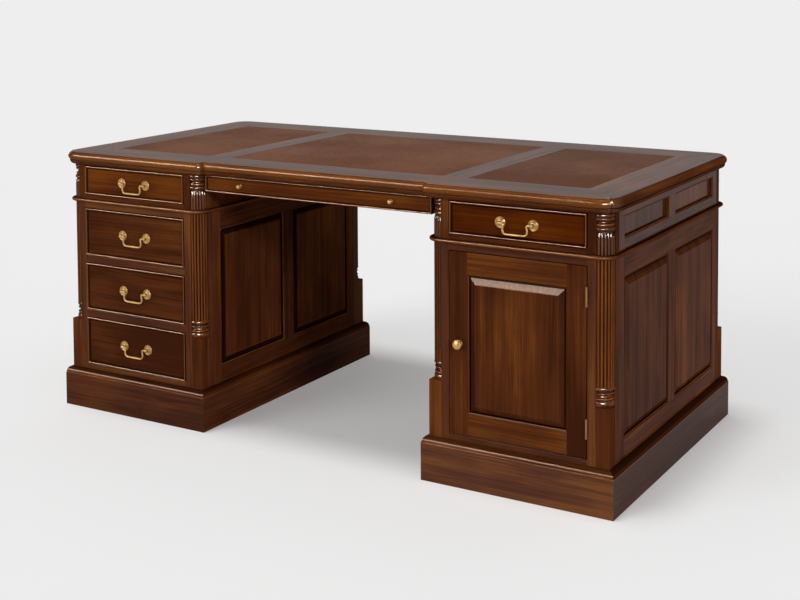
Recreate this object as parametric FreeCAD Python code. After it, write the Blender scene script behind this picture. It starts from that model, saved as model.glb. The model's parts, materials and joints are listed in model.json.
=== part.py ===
import FreeCAD, Part
import math
import os
from FreeCAD import Vector

# Partners desk in millimetres: +Z up, the front faces -Y, origin on the floor under the middle of the top.
# The far side repeats the near side turned half round, so "left" and "right" are those of the sitter.

# Overall size
desk_w = 1800.0
desk_d = 926.0
desk_h = 785.0

# Heights from the floor up; the drawers of the pedestals share what is left
plinth_face_h = 101.5
plinth_mould_h = 16.5
bottom_rail_h = 15.0
drawer_count = 3
divider_h = 21.0
top_rail_h = 18.0
waist_h = 10.0
frieze_bottom_rail_h = 12.0
frieze_opening_h = 89.5
frieze_top_rail_h = 2.5
ovolo_h = 12.0
nosing_h = 23.5
step_h = 2.0

# Plan of the two towers that carry the top
opening_w = 384.0
stile_w = 23.0
column_sq = 36.0
frame_t = 22.0
partition_t = 18.0

# Plinth and waist bead
plinth_projection = 17.0
plinth_t = 30.0
plinth_quirk = 1.5
waist_projection = 10.5
waist_round = 4.9

# Top: edge moulding, break forward, leathers and the boards under them
top_end_overhang = 21.0
top_front_overhang = 19.0
top_corner_r = 56.0
break_depth = 19.0
break_overhang = 17.0
ovolo_inset = 5.0
ovolo_round = 11.8
step_inset = 10.0
nosing_round = 11.6
long_border_w = 138.0
end_border_w = 125.0
leather_centre_w = 706.0
cross_band_w = 79.0
cross_band_t = 26.0
leather_t = 1.5
under_board_t = 18.0

# Reeded quarter columns in the notched corners of the towers
quarter_reed_count = 6
ring_inset = 1.2
reed_inset = 0.5
reed_depth = 2.8
block_h = 149.0
frieze_reed_h = 54.5
reed_nose_h = 8.0
nose_shares = (0.25, 0.67)

# Turned steps from below: height, inset of the middle where it is curved, inset of the end
base_foot_inset = 3.4
base_steps = ((15.0, 0.3, 3.4), (3.0, 3.4), (4.0, 1.2, 3.2), (9.5, 7.2, 3.2), (3.0, 1.6, 3.4), (6.5, 3.4),
              (8.5, 0.0, 3.2))
capital_foot_inset = 4.6
capital_steps = ((4.0, 4.6), (10.0, 0.0, 4.4), (2.0, 4.4), (6.0, 2.8, 4.8), (9.5, 8.0, 2.6), (3.5, 1.2, 2.6),
                 (3.0, 3.2), (9.0, 0.3, 3.2))

# Framed panels of the ends, the kneehole sides and the doors
side_stile_w = 39.0
muntin_w = 58.0
side_low_rail_h = 53.5
side_high_rail_h = 61.0
frieze_side_low_rail_h = 32.0
frieze_side_high_rail_h = 22.0
groove_set = 9.0
groove_depth = 8.0
tongue_t = 6.0
panel_play = 1.0
sight_splay = 4.0
panel_reveal = 2.5
panel_edge_set = 5.0
bevel_w = 17.0
bevel_h = 6.5
field_h = 1.5

# Drawers
front_gap = 2.0
front_t = 18.0
moulding_h = 5.75
moulding_proud = 2.75
bead_w = 4.5
bead_shoulder_h = 3.5
moulding_slope_w = 4.0
centre_slope_w = 2.5
side_t = 12.0
side_drop = 6.0
lap_t = 6.0
drawer_bottom_t = 6.0
drawer_bottom_rise = 9.0
bottom_groove = 5.0
back_t = 12.0
back_clear = 2.0
slide_clear = 0.3
ledge_w = 15.0
guide_h = 30.0
bottom_board_t = 16.0
centre_front_h = 48.0
centre_top_gap = 2.0
centre_end_gap = 3.0
centre_set = 24.0
centre_ledge_h = 5.0
centre_bottom_rise = 4.0

# Door, its stop, butt hinges and knob
door_t = 21.7
door_stile_w = 55.8
door_rail_h = 62.0
stop_t = 12.0
stop_lap = 9.0
stop_end = 24.0
hinge_h = 49.0
hinge_centre_in = 75.0
knuckle_count = 3
knuckle_r = 2.9
knuckle_proud = 0.15
knuckle_gap = 0.3
pin_r = 1.3
running_clear = 0.05
leaf_t = 0.8
leaf_w = 19.0
leaf_set = 0.3
knob_in = 29.5
knob_rose_r = 9.0
knob_rose_h = 2.0
knob_neck_r = 4.2
knob_neck_h = 7.5
knob_r = 12.8
knob_head_h = 12.0
knob_shank_r = 2.0
knob_shank_len = 12.0
small_knob_in = 124.0
small_rose_r = 4.5
small_rose_h = 1.2
small_neck_r = 2.4
small_neck_h = 6.5
small_knob_r = 6.2
small_head_h = 9.0

# Swan-neck bail on two rosettes
handle_spacing = 91.0
rosette_r = 14.7
rim_h = 1.4
dome_h = 4.0
dome_share = 0.75
boss_r = 6.5
boss_h = 1.6
post_r = 3.8
pivot_h = 11.0
ball_r = 5.0
bolt_r = 2.5
nut_r = 5.5
nut_t = 4.0
bolt_end = 1.5
bail_r = 2.25
bail_bar_r = 3.2
bail_drop = 27.0
bail_stub = 8.8
bail_turn_r = 4.5
bail_lean = 12.0
bail_corner_r = 11.0
bail_end_in = 1.0
bore_depth = 0.6

# How far a cutting tool runs past the work, the smallest length told apart, and full turns in degrees
overrun = 5.0
hair = 0.001
full_turn = 360.0
half_turn_angle = full_turn / 2
quarter_turn = full_turn / 4
diagonal = math.sqrt(1 / 2)
mitre_reach_share = 1.3

# Levels
plinth_top = plinth_face_h + plinth_mould_h
opening_low = plinth_top + bottom_rail_h
top_high = desk_h
nosing_high = top_high - step_h
nosing_low = nosing_high - nosing_h
top_low = nosing_low - ovolo_h
frieze_opening_high = top_low - frieze_top_rail_h
frieze_opening_low = frieze_opening_high - frieze_opening_h
frieze_low = frieze_opening_low - frieze_bottom_rail_h
waist_low = frieze_low - waist_h
opening_high = waist_low - top_rail_h
drawer_pitch = (opening_high - opening_low + divider_h) / drawer_count
drawer_opening_h = drawer_pitch - divider_h

# Places in plan
post_w = column_sq + stile_w
tower_w = opening_w + 2 * post_w
tower_d = desk_d - 2 * top_front_overhang
kneehole_w = desk_w - 2 * (tower_w + top_end_overhang)
tower_x = kneehole_w / 2 + tower_w / 2
face_y = tower_d / 2
frame_half = face_y - post_w
inside_half = tower_w / 2 - frame_t
opening_half = opening_w / 2
top_half_w = desk_w / 2
top_half_d = desk_d / 2
break_half_w = kneehole_w / 2 - break_overhang
ring_r = column_sq - ring_inset
reed_r = ring_r - reed_inset
reed_count = 4 * quarter_reed_count
valley_r = reed_r - reed_depth
field_z = moulding_proud - moulding_h
up = Vector(0, 0, 1)
across = Vector(1, 0, 0)
centre = Vector(0, 0, 0)


def box(xs, ys, zs):
    """A board between two values on each axis, given in either order."""
    x, y, z = sorted(xs), sorted(ys), sorted(zs)
    return Part.makeBox(x[1] - x[0], y[1] - y[0], z[1] - z[0], Vector(x[0], y[0], z[0]))


def closed_wire(start, *steps):
    """A wire back to its start: a step of one point is a line, a step of two is an arc through the first."""
    edges = []
    here = start
    for step in steps + ((start,),):
        if len(step) == 2:
            edges.append(Part.Arc(here, *step).toShape())
        elif not here.isEqual(step[0], hair):
            edges.append(Part.makeLine(here, step[0]))
        here = step[-1]
    return Part.Wire(edges)


def prism(points, along):
    return Part.Face(Part.makePolygon(points + points[:1])).extrude(along)


def turned(start, *steps):
    """A turned solid about the local Z axis from a profile of radius (x) and height (z)."""
    return Part.Face(closed_wire(start, *steps)).revolve(centre, up, full_turn)


def rod(radius, start, along):
    return Part.makeCylinder(radius, along.Length, start, along)


def fused(solids):
    return solids[0].multiFuse(solids[1:]).removeSplitter().Solids[0]


def moved(shape, x=0, y=0, z=0):
    copy = shape.copy()
    copy.translate(Vector(x, y, z))
    return copy


def half_turn(solids):
    """The same solids on the far side of the desk."""
    return [solid.copy().rotate(centre, up, half_turn_angle) for solid in solids]


def facing(shape, turn, x, y, z):
    """Stands a piece drawn flat (x across, y up, z outwards) upright; no turn faces it to the front."""
    copy = shape.copy()
    copy.rotate(centre, across, quarter_turn)
    copy.rotate(centre, up, turn)
    copy.translate(Vector(x, y, z))
    return copy


def frustum(xs, ys, zs, inset):
    """A block with sloping sides, narrower by the inset on each side at the second height."""
    wedge = Part.makeWedge(xs[0], zs[0], -ys[1], inset - ys[1], xs[0] + inset,
                           xs[1], zs[1], -ys[0], -ys[0] - inset, xs[1] - inset)
    wedge.rotate(centre, across, quarter_turn)
    return wedge


def mitred_strips(size_x, size_y, section, width):
    """Four strips of one section round a rectangle about the origin, mitred at the corners."""
    reach = section.BoundBox
    strips = []
    for turn, (run, cross) in enumerate([(size_x, size_y), (size_y, size_x)] * 2):
        strip = Part.Face(section).extrude(across * run)
        plan = [Vector(0, 0, reach.ZMin), Vector(run, 0, reach.ZMin),
                Vector(run - width, width, reach.ZMin), Vector(width, width, reach.ZMin)]
        strip = strip.common(prism(plan, up * reach.ZLength)).Solids[0]
        strip.translate(Vector(-run / 2, -cross / 2, 0))
        strip.rotate(centre, up, turn * quarter_turn)
        strips.append(strip)
    return strips


def upright_edges(solid, x):
    """The upright edges of a block at one place across."""
    return [e for e in solid.Edges if e.BoundBox.XLength < hair and e.BoundBox.YLength < hair
            and abs(e.BoundBox.XMin - x) < hair]


def round_rims(solid, radius, levels):
    """Rounds the level edges of a slab at some of its heights."""
    rims = [e for e in solid.Edges if e.BoundBox.ZLength < hair
            and any(abs(e.BoundBox.ZMin - level) < hair for level in levels)]
    return solid.makeFillet(radius, rims)


def round_corners(xs, ys, zs, radii):
    """A slab with its upright corners rounded, one radius at each end."""
    slab = box(xs, ys, zs)
    for x, radius in zip(xs, radii):
        slab = slab.makeFillet(radius, upright_edges(slab, x))
    return slab


def framed_panels(width, low, high, stile, low_rail, high_rail, muntin, thick, raised):
    """Stiles, rails and panels in grooves: x across, y up, z outwards from the face at zero."""
    half = width / 2
    sight = half - stile
    sight_low = low + low_rail
    sight_high = high - high_rail
    depth = (-thick, 0)
    members = [box((-half, -sight), (low, high), depth), box((sight, half), (low, high), depth),
               box((-sight, sight), (low, sight_low), depth), box((-sight, sight), (sight_high, high), depth)]
    spans = [(-sight, sight)]
    if muntin:
        members.append(box((-muntin / 2, muntin / 2), (sight_low, sight_high), depth))
        spans = [(-sight, -muntin / 2), (muntin / 2, sight)]
    panels = []
    for span in spans:
        grow = [groove_depth, groove_depth - panel_play, -panel_reveal]
        xs, ys = zip(*[((span[0] - g, span[1] + g), (sight_low - g, sight_high + g)) for g in grow])
        groove = box(xs[0], ys[0], (-groove_set - tongue_t, -groove_set))
        splay = frustum(span, (sight_low, sight_high), (-sight_splay, overrun), -sight_splay - overrun)
        members = [member.cut(groove).cut(splay).Solids[0] for member in members]
        panel = box(xs[1], ys[1], (-groove_set - tongue_t, -groove_set))
        if raised:
            body = box(xs[2], ys[2], (-groove_set, -panel_edge_set))
            slope = frustum(xs[2], ys[2], (-panel_edge_set, bevel_h - panel_edge_set), bevel_w)
            field_x = (xs[2][0] + bevel_w, xs[2][1] - bevel_w)
            field_y = (ys[2][0] + bevel_w, ys[2][1] - bevel_w)
            field = box(field_x, field_y, (-panel_edge_set, bevel_h + field_h - panel_edge_set))
            panel = fused([panel, body, slope, field])
        panels.append(panel)
    return members, panels


def tower_corners(tower):
    """Outer corners of a tower in plan, each with its two directions inwards."""
    return [(tower + sx * tower_w / 2, sy * face_y, -sx, -sy) for sx in (1, -1) for sy in (1, -1)]


def corner_square(corner, size, low, high):
    """An upright block in a corner of a tower."""
    x, y, dx, dy = corner
    return box((x, x + dx * size), (y, y + dy * size), (low, high))


def corner_posts(tower, low, high):
    """Posts with a square notch at the outer corner for the column."""
    return [corner_square(corner, post_w, low, high).cut(corner_square(corner, column_sq, low, high))
            for corner in tower_corners(tower)]


def reeds(low, high):
    """The reeded shaft about the local Z axis."""
    def at(radius, step):
        turn = 2 * math.pi * step / reed_count
        return Vector(radius * math.cos(turn), radius * math.sin(turn), low)
    arcs = []
    for n in range(reed_count):
        arcs.append(Part.Arc(at(valley_r, n), at(reed_r, n + 1 / 2), at(valley_r, n + 1)).toShape())
    return Part.Face(Part.Wire(arcs)).extrude(up * (high - low))


def turning(low, foot_inset, steps, high):
    """A turned stack about the local Z axis: rings, hollows and necks one over the other."""
    profile = [(Vector(ring_r - foot_inset, 0, low),)]
    height = low
    for step in steps:
        step_h, insets = step[0], step[1:]
        end = Vector(ring_r - insets[-1], 0, height + step_h)
        if len(insets) == 2:
            profile.append((Vector(ring_r - insets[0], 0, height + step_h / 2), end))
        else:
            profile += [(Vector(end.x, 0, height),), (end,)]
        height += step_h
    profile += [(Vector(profile[-1][-1].x, 0, high),), (Vector(0, 0, high),)]
    return turned(Vector(0, 0, low), *profile)


def quarter(solids, low, high):
    """What lies in the notch, of solids about the axis in its inner corner."""
    notch = box((-column_sq, 0), (-column_sq, 0), (low, high))
    return fused([solid.common(notch).Solids[0] for solid in solids])


def pedestal_column():
    """Square block, turned base and reeded shaft, in one piece."""
    block_top = plinth_top + block_h
    base_top = block_top + sum(step[0] for step in base_steps)
    block = box((-column_sq, 0), (-column_sq, 0), (plinth_top, block_top))
    base = turning(block_top, base_foot_inset, base_steps, base_top)
    return quarter([block, base, reeds(base_top, waist_low)], plinth_top, waist_low)


def frieze_column():
    """Short reeded shaft with rounded reed ends under a turned capital."""
    reed_top = frieze_low + frieze_reed_h
    nose_low = reed_top - reed_nose_h
    nose_mid = Vector(reed_r - reed_depth * nose_shares[0], 0, nose_low + reed_nose_h * nose_shares[1])
    nose = turned(Vector(0, 0, frieze_low), (Vector(reed_r, 0, frieze_low),), (Vector(reed_r, 0, nose_low),),
                  (nose_mid, Vector(valley_r, 0, reed_top)), (Vector(0, 0, reed_top),))
    shaft = reeds(frieze_low, reed_top).common(nose).Solids[0]
    capital = turning(reed_top, capital_foot_inset, capital_steps, top_low)
    return quarter([shaft, capital], frieze_low, top_low)


def columns_of(tower, column):
    solids = []
    for x, y, dx, dy in tower_corners(tower):
        turn = math.degrees(math.atan2(-dy, -dx)) + half_turn_angle - quarter_turn / 2
        solid = column.copy().rotate(centre, up, turn)
        solids.append(moved(solid, x + dx * column_sq, y + dy * column_sq))
    return solids


def top_layer(inset, zs, radius=0, levels=()):
    """One layer of the top's edge, broken forward over the towers, its rims rounded at some heights."""
    y = top_half_d - inset
    end = round_corners((break_half_w + inset, top_half_w - inset), (-y, y), zs,
                        (break_depth - inset, top_corner_r - inset))
    buried = break_half_w + 2 * break_depth
    middle = box((-buried, buried), (break_depth + inset - top_half_d, y), zs)
    if radius:
        end = round_rims(end, radius, levels)
        long_rims = [e for e in middle.Edges if e.BoundBox.XLength > buried
                     and any(abs(e.BoundBox.ZMin - level) < hair for level in levels)]
        middle = middle.makeFillet(radius, long_rims)
    return [end, end.mirror(centre, across), middle]


def moulding_section(slope_w):
    """Bead and inner slope planted round a drawer front: y inwards, z outwards from the field."""
    base = Vector(0, 0, field_z)
    bead_in = Vector(0, bead_w, field_z + bead_shoulder_h)
    return closed_wire(base, (Vector(0, 0, field_z + bead_shoulder_h),),
                       (Vector(0, bead_w / 2, field_z + moulding_h), bead_in),
                       (Vector(0, bead_w + slope_w, field_z),))


def drawer(width, height, side_low, floor_rise, depth, slope_w, holes):
    """Front with planted mouldings, sides lapped into it, back and bottom, about the middle of the front."""
    half = width / 2
    side_high = height / 2 - side_drop
    back_z = -depth
    inner = half - side_t
    front = box((-half, half), (-height / 2, height / 2), (field_z - front_t, field_z))
    sides = [box((s * half, s * inner), (side_low, side_high), (back_z, field_z - lap_t)) for s in (-1, 1)]
    floor_low = side_low + floor_rise
    floor_high = floor_low + drawer_bottom_t
    floor_x = inner + bottom_groove
    floor = box((-floor_x, floor_x), (floor_low, floor_high), (back_z, field_z - front_t + bottom_groove))
    back = box((-inner, inner), (floor_high, side_high), (back_z, back_z + back_t))
    front = front.cut(floor)
    for side in sides:
        front = front.cut(side)
    for hole in holes:
        front = front.cut(hole)
    sides = [side.cut(floor) for side in sides]
    mouldings = mitred_strips(width, height, moulding_section(slope_w), bead_w + slope_w)
    return [front.Solids[0]] + [side.Solids[0] for side in sides] + [back, floor] + mouldings


def handle_posts():
    return [Vector(s * handle_spacing / 2, 0, field_z) for s in (-1, 1)]


def handle_holes():
    return [rod(bolt_r + running_clear, post, -up * (front_t + overrun)) for post in handle_posts()]


def rosettes():
    """Two domed rosettes with posts, bored for the bail, and the nuts inside the drawer."""
    solids = []
    bolt_len = front_t + nut_t + bolt_end
    for post in handle_posts():
        inward = -1 if post.x > 0 else 1
        dome_mid = Vector((rosette_r + boss_r) / 2, 0, rim_h + (dome_h - rim_h) * dome_share)
        disc = turned(centre, (Vector(rosette_r, 0, 0),), (Vector(rosette_r, 0, rim_h),),
                      (dome_mid, Vector(boss_r, 0, dome_h)), (Vector(boss_r, 0, dome_h + boss_h),),
                      (Vector(post_r, 0, dome_h + boss_h),), (Vector(post_r, 0, pivot_h),),
                      (Vector(0, 0, pivot_h),))
        ball = Part.makeSphere(ball_r, Vector(0, 0, pivot_h))
        body = fused([disc, ball, rod(bolt_r, centre, -up * bolt_len)])
        bore = rod(bail_r + running_clear, Vector(-inward * bore_depth, 0, pivot_h),
                   across * inward * (ball_r + overrun))
        solids.append(moved(body.cut(bore), *post))
        nut = rod(nut_r, Vector(0, 0, -front_t), -up * nut_t)
        nut = nut.cut(rod(bolt_r + running_clear, centre, -up * bolt_len))
        solids.append(moved(nut, *post))
    return solids


def bail():
    """The hanging handle: a round bar swept along its bends, swelling towards the middle of the grip."""
    lean = math.radians(bail_lean)
    z = field_z + pivot_h
    end = Vector(handle_spacing / 2 - bail_end_in, 0, z)
    turn_start = Vector(handle_spacing / 2 - bail_stub, 0, z)
    turn_centre = turn_start - Vector(0, bail_turn_r, 0)
    turn_mid = turn_centre + Vector(-diagonal, diagonal, 0) * bail_turn_r
    turn_end = turn_centre + Vector(-math.cos(lean), -math.sin(lean), 0) * bail_turn_r
    low_centre_y = bail_corner_r - bail_drop
    arm_end_y = low_centre_y + bail_corner_r * math.sin(lean)
    arm_end = Vector(turn_end.x + (turn_end.y - arm_end_y) * math.tan(lean), arm_end_y, z)
    low_centre = Vector(arm_end.x - bail_corner_r * math.cos(lean), low_centre_y, z)
    low_mid = low_centre + Vector(diagonal, -diagonal, 0) * bail_corner_r
    low_end = low_centre - Vector(0, bail_corner_r, 0)

    def other(point):
        return Vector(-point.x, point.y, point.z)

    path = Part.Wire([
        Part.makeLine(end, turn_start), Part.Arc(turn_start, turn_mid, turn_end).toShape(),
        Part.makeLine(turn_end, arm_end), Part.Arc(arm_end, low_mid, low_end).toShape(),
        Part.makeLine(low_end, other(low_end)),
        Part.Arc(other(low_end), other(low_mid), other(arm_end)).toShape(),
        Part.makeLine(other(arm_end), other(turn_end)),
        Part.Arc(other(turn_end), other(turn_mid), other(turn_start)).toShape(),
        Part.makeLine(other(turn_start), other(end))])
    section = Part.Wire([Part.makeCircle(bail_r, end, across)])
    bent = path.makePipeShell([section], True, True)
    wire_r = Vector(0, bail_r, 0)
    grip = closed_wire(low_end, (low_end + wire_r,),
                       (Vector(0, low_end.y + bail_bar_r, z), other(low_end) + wire_r), (other(low_end),))
    swell = Part.Face(grip).revolve(low_end, across, full_turn)
    return [fused([bent, swell])]


def knob(rose_r, rose_h, stem_r, stem_h, head_r, head_h):
    """A turned knob on a rose with its screw shank, about the local Z axis."""
    head_low = rose_h + stem_h
    head_top = head_low + head_h
    head_mid = head_low + head_h / 2
    return turned(Vector(0, 0, -knob_shank_len), (Vector(knob_shank_r, 0, -knob_shank_len),),
                  (Vector(knob_shank_r, 0, 0),), (Vector(rose_r, 0, 0),), (Vector(rose_r, 0, rose_h),),
                  (Vector(stem_r, 0, rose_h),), (Vector(stem_r, 0, head_low),),
                  (Vector(head_r, 0, head_mid), Vector(stem_r, 0, head_top)), (Vector(0, 0, head_top),))


def shank_hole(x, z):
    return rod(knob_shank_r + running_clear, Vector(x, 0, z), -up * knob_shank_len)


def leaf(inner_x, outer_x, knuckles, axis):
    """One hinge leaf in the gap beside the door, with tongues to its own knuckles."""
    plate_z = (-leaf_set, -leaf_set - leaf_w)
    pieces = [box((inner_x, outer_x), (-hinge_h / 2, hinge_h / 2), plate_z)]
    for low, high in knuckles:
        pieces.append(box((inner_x, outer_x), (low, high), (plate_z[0], axis.z)))
        pieces.append(rod(knuckle_r, Vector(axis.x, low, axis.z), Vector(0, high - low, 0)))
    return pieces


def hinge():
    """Fixed leaf with the pin, and the leaf on the door, about the middle of the hinge at the face."""
    axis = Vector(opening_half - front_gap / 2, 0, knuckle_r + knuckle_proud)
    knuckle_h = (hinge_h - (knuckle_count - 1) * knuckle_gap) / knuckle_count
    low, high = -hinge_h / 2, hinge_h / 2
    pin = rod(pin_r, Vector(axis.x, low, axis.z), Vector(0, hinge_h, 0))
    outer_knuckles = [(low, low + knuckle_h), (high - knuckle_h, high)]
    fixed = leaf(opening_half - leaf_t, opening_half, outer_knuckles, axis)
    hung_x = opening_half - front_gap
    hung = leaf(hung_x, hung_x + leaf_t, [(-knuckle_h / 2, knuckle_h / 2)], axis)
    bore = rod(pin_r + running_clear, Vector(axis.x, low, axis.z), Vector(0, hinge_h, 0))
    return fused(fixed + [pin]), fused(hung).cut(bore).Solids[0]


def keep(name, solids):
    Part.makeCompound(solids).exportStep("parts/%s.step" % name)


def keep_pair(near, far, solids):
    """A node on the near side and the same node turned half round."""
    keep(near, solids)
    keep(far, half_turn(solids))


os.makedirs("parts", exist_ok=True)

# Top: the moulded slab is cut into mitred boards, cross bands and beds for the leathers
nosing_z = (nosing_low, nosing_high)
layers = top_layer(ovolo_inset, (top_low, nosing_low), ovolo_round, [top_low])
layers += top_layer(0, nosing_z, nosing_round, nosing_z)
layers += top_layer(step_inset, (nosing_high, top_high))
slab = fused(layers)
leather_y = top_half_d - long_border_w
leather_x = top_half_w - end_border_w
band_in = leather_centre_w / 2
band_out = band_in + cross_band_w


def mitre_point(sx, sy, share):
    x = leather_x + share * end_border_w
    y = leather_y + share * long_border_w
    return Vector(sx * x, sy * y, top_low - overrun)


border = []
for first, second in [((-1, -1), (1, -1)), ((1, -1), (1, 1)), ((1, 1), (-1, 1)), ((-1, 1), (-1, -1))]:
    plan = [mitre_point(*first, 0), mitre_point(*first, mitre_reach_share),
            mitre_point(*second, mitre_reach_share), mitre_point(*second, 0)]
    border.append(slab.common(prism(plan, up * (top_high - top_low + 2 * overrun))).Solids[0])
keep("top_border", border)
cross_z = (top_high - cross_band_t, top_high)
keep("top_cross_bands", [box((s * band_in, s * band_out), (-leather_y, leather_y), cross_z) for s in (-1, 1)])
leather_spans = [(-leather_x, -band_out), (-band_in, band_in), (band_out, leather_x)]
leather_low = top_high - leather_t
bed_z = (leather_low - under_board_t, leather_low)
keep("top_under_boards", [box(span, (-leather_y, leather_y), bed_z) for span in leather_spans])
keep("leather_panels", [box(span, (-leather_y, leather_y), (leather_low, top_high)) for span in leather_spans])

# Frieze: posts, columns, rails, sunk end panels and the inside
left = -tower_x
short_column = frieze_column()
frieze_columns = columns_of(left, short_column)
keep("frieze_columns", frieze_columns + half_turn(frieze_columns))
opening_span = (left - opening_half, left + opening_half)
frieze_rails = []
for sy in (-1, 1):
    rail_y = (sy * face_y, sy * (face_y - frame_t))
    frieze_rails.append(box(opening_span, rail_y, (frieze_low, frieze_opening_low)))
    frieze_rails.append(box(opening_span, rail_y, (frieze_opening_high, top_low)))
frieze_frame = corner_posts(left, frieze_low, top_low) + frieze_rails
keep("frieze_frame", frieze_frame + half_turn(frieze_frame))
members, panels = framed_panels(2 * frame_half, frieze_low, top_low, side_stile_w, frieze_side_low_rail_h,
                                frieze_side_high_rail_h, muntin_w, frame_t, False)
frieze_end = [facing(solid, -quarter_turn, left - tower_w / 2, 0, 0) for solid in members + panels]
keep("frieze_ends", frieze_end + half_turn(frieze_end))


def runner(side, sy, low, high, lap):
    """A strip along the inside of the left tower, from a post to the partition, lapping under the drawer."""
    return box((left + side * (opening_half - lap), left + side * inside_half),
               (sy * frame_half, sy * partition_t / 2), (low, high))


inner_face = kneehole_w / 2
inside_span = (left - inside_half, left + inside_half)
partition_y = (-partition_t / 2, partition_t / 2)
frieze_z = (frieze_low, top_low)
frieze_inside = [box((-inner_face, -inner_face - frame_t), (-frame_half, frame_half), frieze_z),
                 box(inside_span, partition_y, frieze_z)]
for side in (-1, 1):
    for sy in (-1, 1):
        frieze_inside.append(runner(side, sy, frieze_low, frieze_opening_low, ledge_w))
        frieze_inside.append(runner(side, sy, frieze_opening_low, frieze_opening_low + guide_h, 0))
centre_low = top_low - centre_top_gap - centre_front_h
centre_side_x = inner_face - centre_end_gap - side_t
ledge_y = face_y - centre_set + field_z - front_t - front_gap
ledge_z = (centre_low, centre_low + centre_ledge_h)
for sy in (-1, 1):
    frieze_inside.append(box((-inner_face, -centre_side_x), (sy * ledge_y, sy * partition_t / 2), ledge_z))
centre_rail = box((-inner_face, inner_face), partition_y, (centre_low, top_low))
keep("frieze_inside", frieze_inside + half_turn(frieze_inside) + [centre_rail])

# Waist bead boards and plinths
waist_half_w = tower_w / 2 + waist_projection
waist_half_d = face_y + waist_projection
waist_corner_r = column_sq + waist_projection
waist = round_corners((left - waist_half_w, left + waist_half_w), (-waist_half_d, waist_half_d),
                      (waist_low, frieze_low), (waist_corner_r, waist_corner_r))
waist = round_rims(waist, waist_round, (waist_low, frieze_low))
keep("waist_boards", [waist] + half_turn([waist]))
ovolo_x = plinth_projection - plinth_quirk
ovolo_z = plinth_mould_h - plinth_quirk
ovolo_low = plinth_face_h + plinth_quirk
ovolo_mid = Vector(0, plinth_projection - ovolo_x * diagonal, ovolo_low + ovolo_z * diagonal)
plinth_section = closed_wire(centre, (Vector(0, 0, plinth_face_h),), (Vector(0, plinth_quirk, plinth_face_h),),
                             (Vector(0, plinth_quirk, ovolo_low),),
                             (ovolo_mid, Vector(0, plinth_projection, plinth_top)),
                             (Vector(0, plinth_t, plinth_top),), (Vector(0, plinth_t, 0),))
plinth_size = (tower_w + 2 * plinth_projection, tower_d + 2 * plinth_projection)
plinth = mitred_strips(*plinth_size, plinth_section, plinth_t)
keep_pair("left_plinth", "right_plinth", [moved(strip, left) for strip in plinth])

# Left pedestal, drawers to the front and the cupboard to the back; the right one is turned half round
keep_pair("left_columns", "right_columns", columns_of(left, pedestal_column()))
drawer_lows = [opening_low + n * drawer_pitch for n in range(drawer_count)]
front_y = (-face_y, frame_t - face_y)
back_y = (face_y, face_y - frame_t)
rail_levels = [(plinth_top, opening_low), (opening_high, waist_low)]
rails = [box(opening_span, y, z) for y in (front_y, back_y) for z in rail_levels]
rails += [box(opening_span, front_y, (low - divider_h, low)) for low in drawer_lows[1:]]
members, panels = framed_panels(2 * frame_half, plinth_top, waist_low, side_stile_w, side_low_rail_h,
                                side_high_rail_h, muntin_w, frame_t, True)
side_places = [(-quarter_turn, left - tower_w / 2), (quarter_turn, left + tower_w / 2)]
side_members = [facing(solid, turn, x, 0, 0) for turn, x in side_places for solid in members]
keep_pair("left_frame", "right_frame", corner_posts(left, plinth_top, waist_low) + rails + side_members)
keep_pair("left_side_panels", "right_side_panels",
          [facing(solid, turn, x, 0, 0) for turn, x in side_places for solid in panels])
floor_y = face_y - frame_t
inside = [box(inside_span, partition_y, (opening_low, waist_low))]
floor = box(inside_span, (-floor_y, floor_y), (opening_low - bottom_board_t, opening_low))
for corner in tower_corners(left):
    floor = floor.cut(corner_square(corner, post_w, plinth_top, waist_low))
inside.append(floor.Solids[0])
for side in (-1, 1):
    for low in drawer_lows:
        inside.append(runner(side, -1, low, low + guide_h, 0))
    for low in drawer_lows[1:]:
        inside.append(runner(side, -1, low - divider_h, low, ledge_w))
stop_x = opening_half - stop_end
stop_z = (opening_high - stop_lap, opening_high + stop_lap)
inside.append(box((left - stop_x, left + stop_x), (floor_y, floor_y - stop_t), stop_z))
keep_pair("left_inside", "right_inside", inside)

# Drawers with handles, from the sitter's side
front_w = opening_w - 2 * front_gap
box_depth = face_y - partition_t / 2 - back_clear
places = [("left_frieze", left, frieze_opening_low, frieze_opening_h),
          ("right_frieze", tower_x, frieze_opening_low, frieze_opening_h)]
places += [(name, left, low, drawer_opening_h) for name, low in zip(("lower", "middle", "upper"), drawer_lows)]
for name, x, low, high in places:
    solids = drawer(front_w, high - 2 * front_gap, slide_clear - high / 2, drawer_bottom_rise, box_depth,
                    moulding_slope_w, handle_holes())
    middle = low + high / 2
    for node, pieces in (("drawer", solids), ("rosettes", rosettes()), ("bail", bail())):
        placed = [facing(solid, 0, x, -face_y, middle) for solid in pieces]
        keep_pair("front_%s_%s" % (name, node), "back_%s_%s" % (name, node), placed)

# Shallow drawer over the kneehole
centre_w = kneehole_w - 2 * centre_end_gap
centre_depth = face_y - centre_set - partition_t / 2 - back_clear
centre_mid = centre_low + centre_front_h / 2
small_knob_x = centre_w / 2 - small_knob_in
knob_places = [-small_knob_x, small_knob_x]
side_low = centre_ledge_h + slide_clear - centre_front_h / 2
solids = drawer(centre_w, centre_front_h, side_low, centre_bottom_rise, centre_depth, centre_slope_w,
                [shank_hole(x, field_z) for x in knob_places])
small_knob = knob(small_rose_r, small_rose_h, small_neck_r, small_neck_h, small_knob_r, small_head_h)
knobs = [moved(small_knob, x, 0, field_z) for x in knob_places]
for node, pieces in (("drawer", solids), ("knobs", knobs)):
    placed = [facing(solid, 0, 0, centre_set - face_y, centre_mid) for solid in pieces]
    keep_pair("front_centre_%s" % node, "back_centre_%s" % node, placed)

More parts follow.
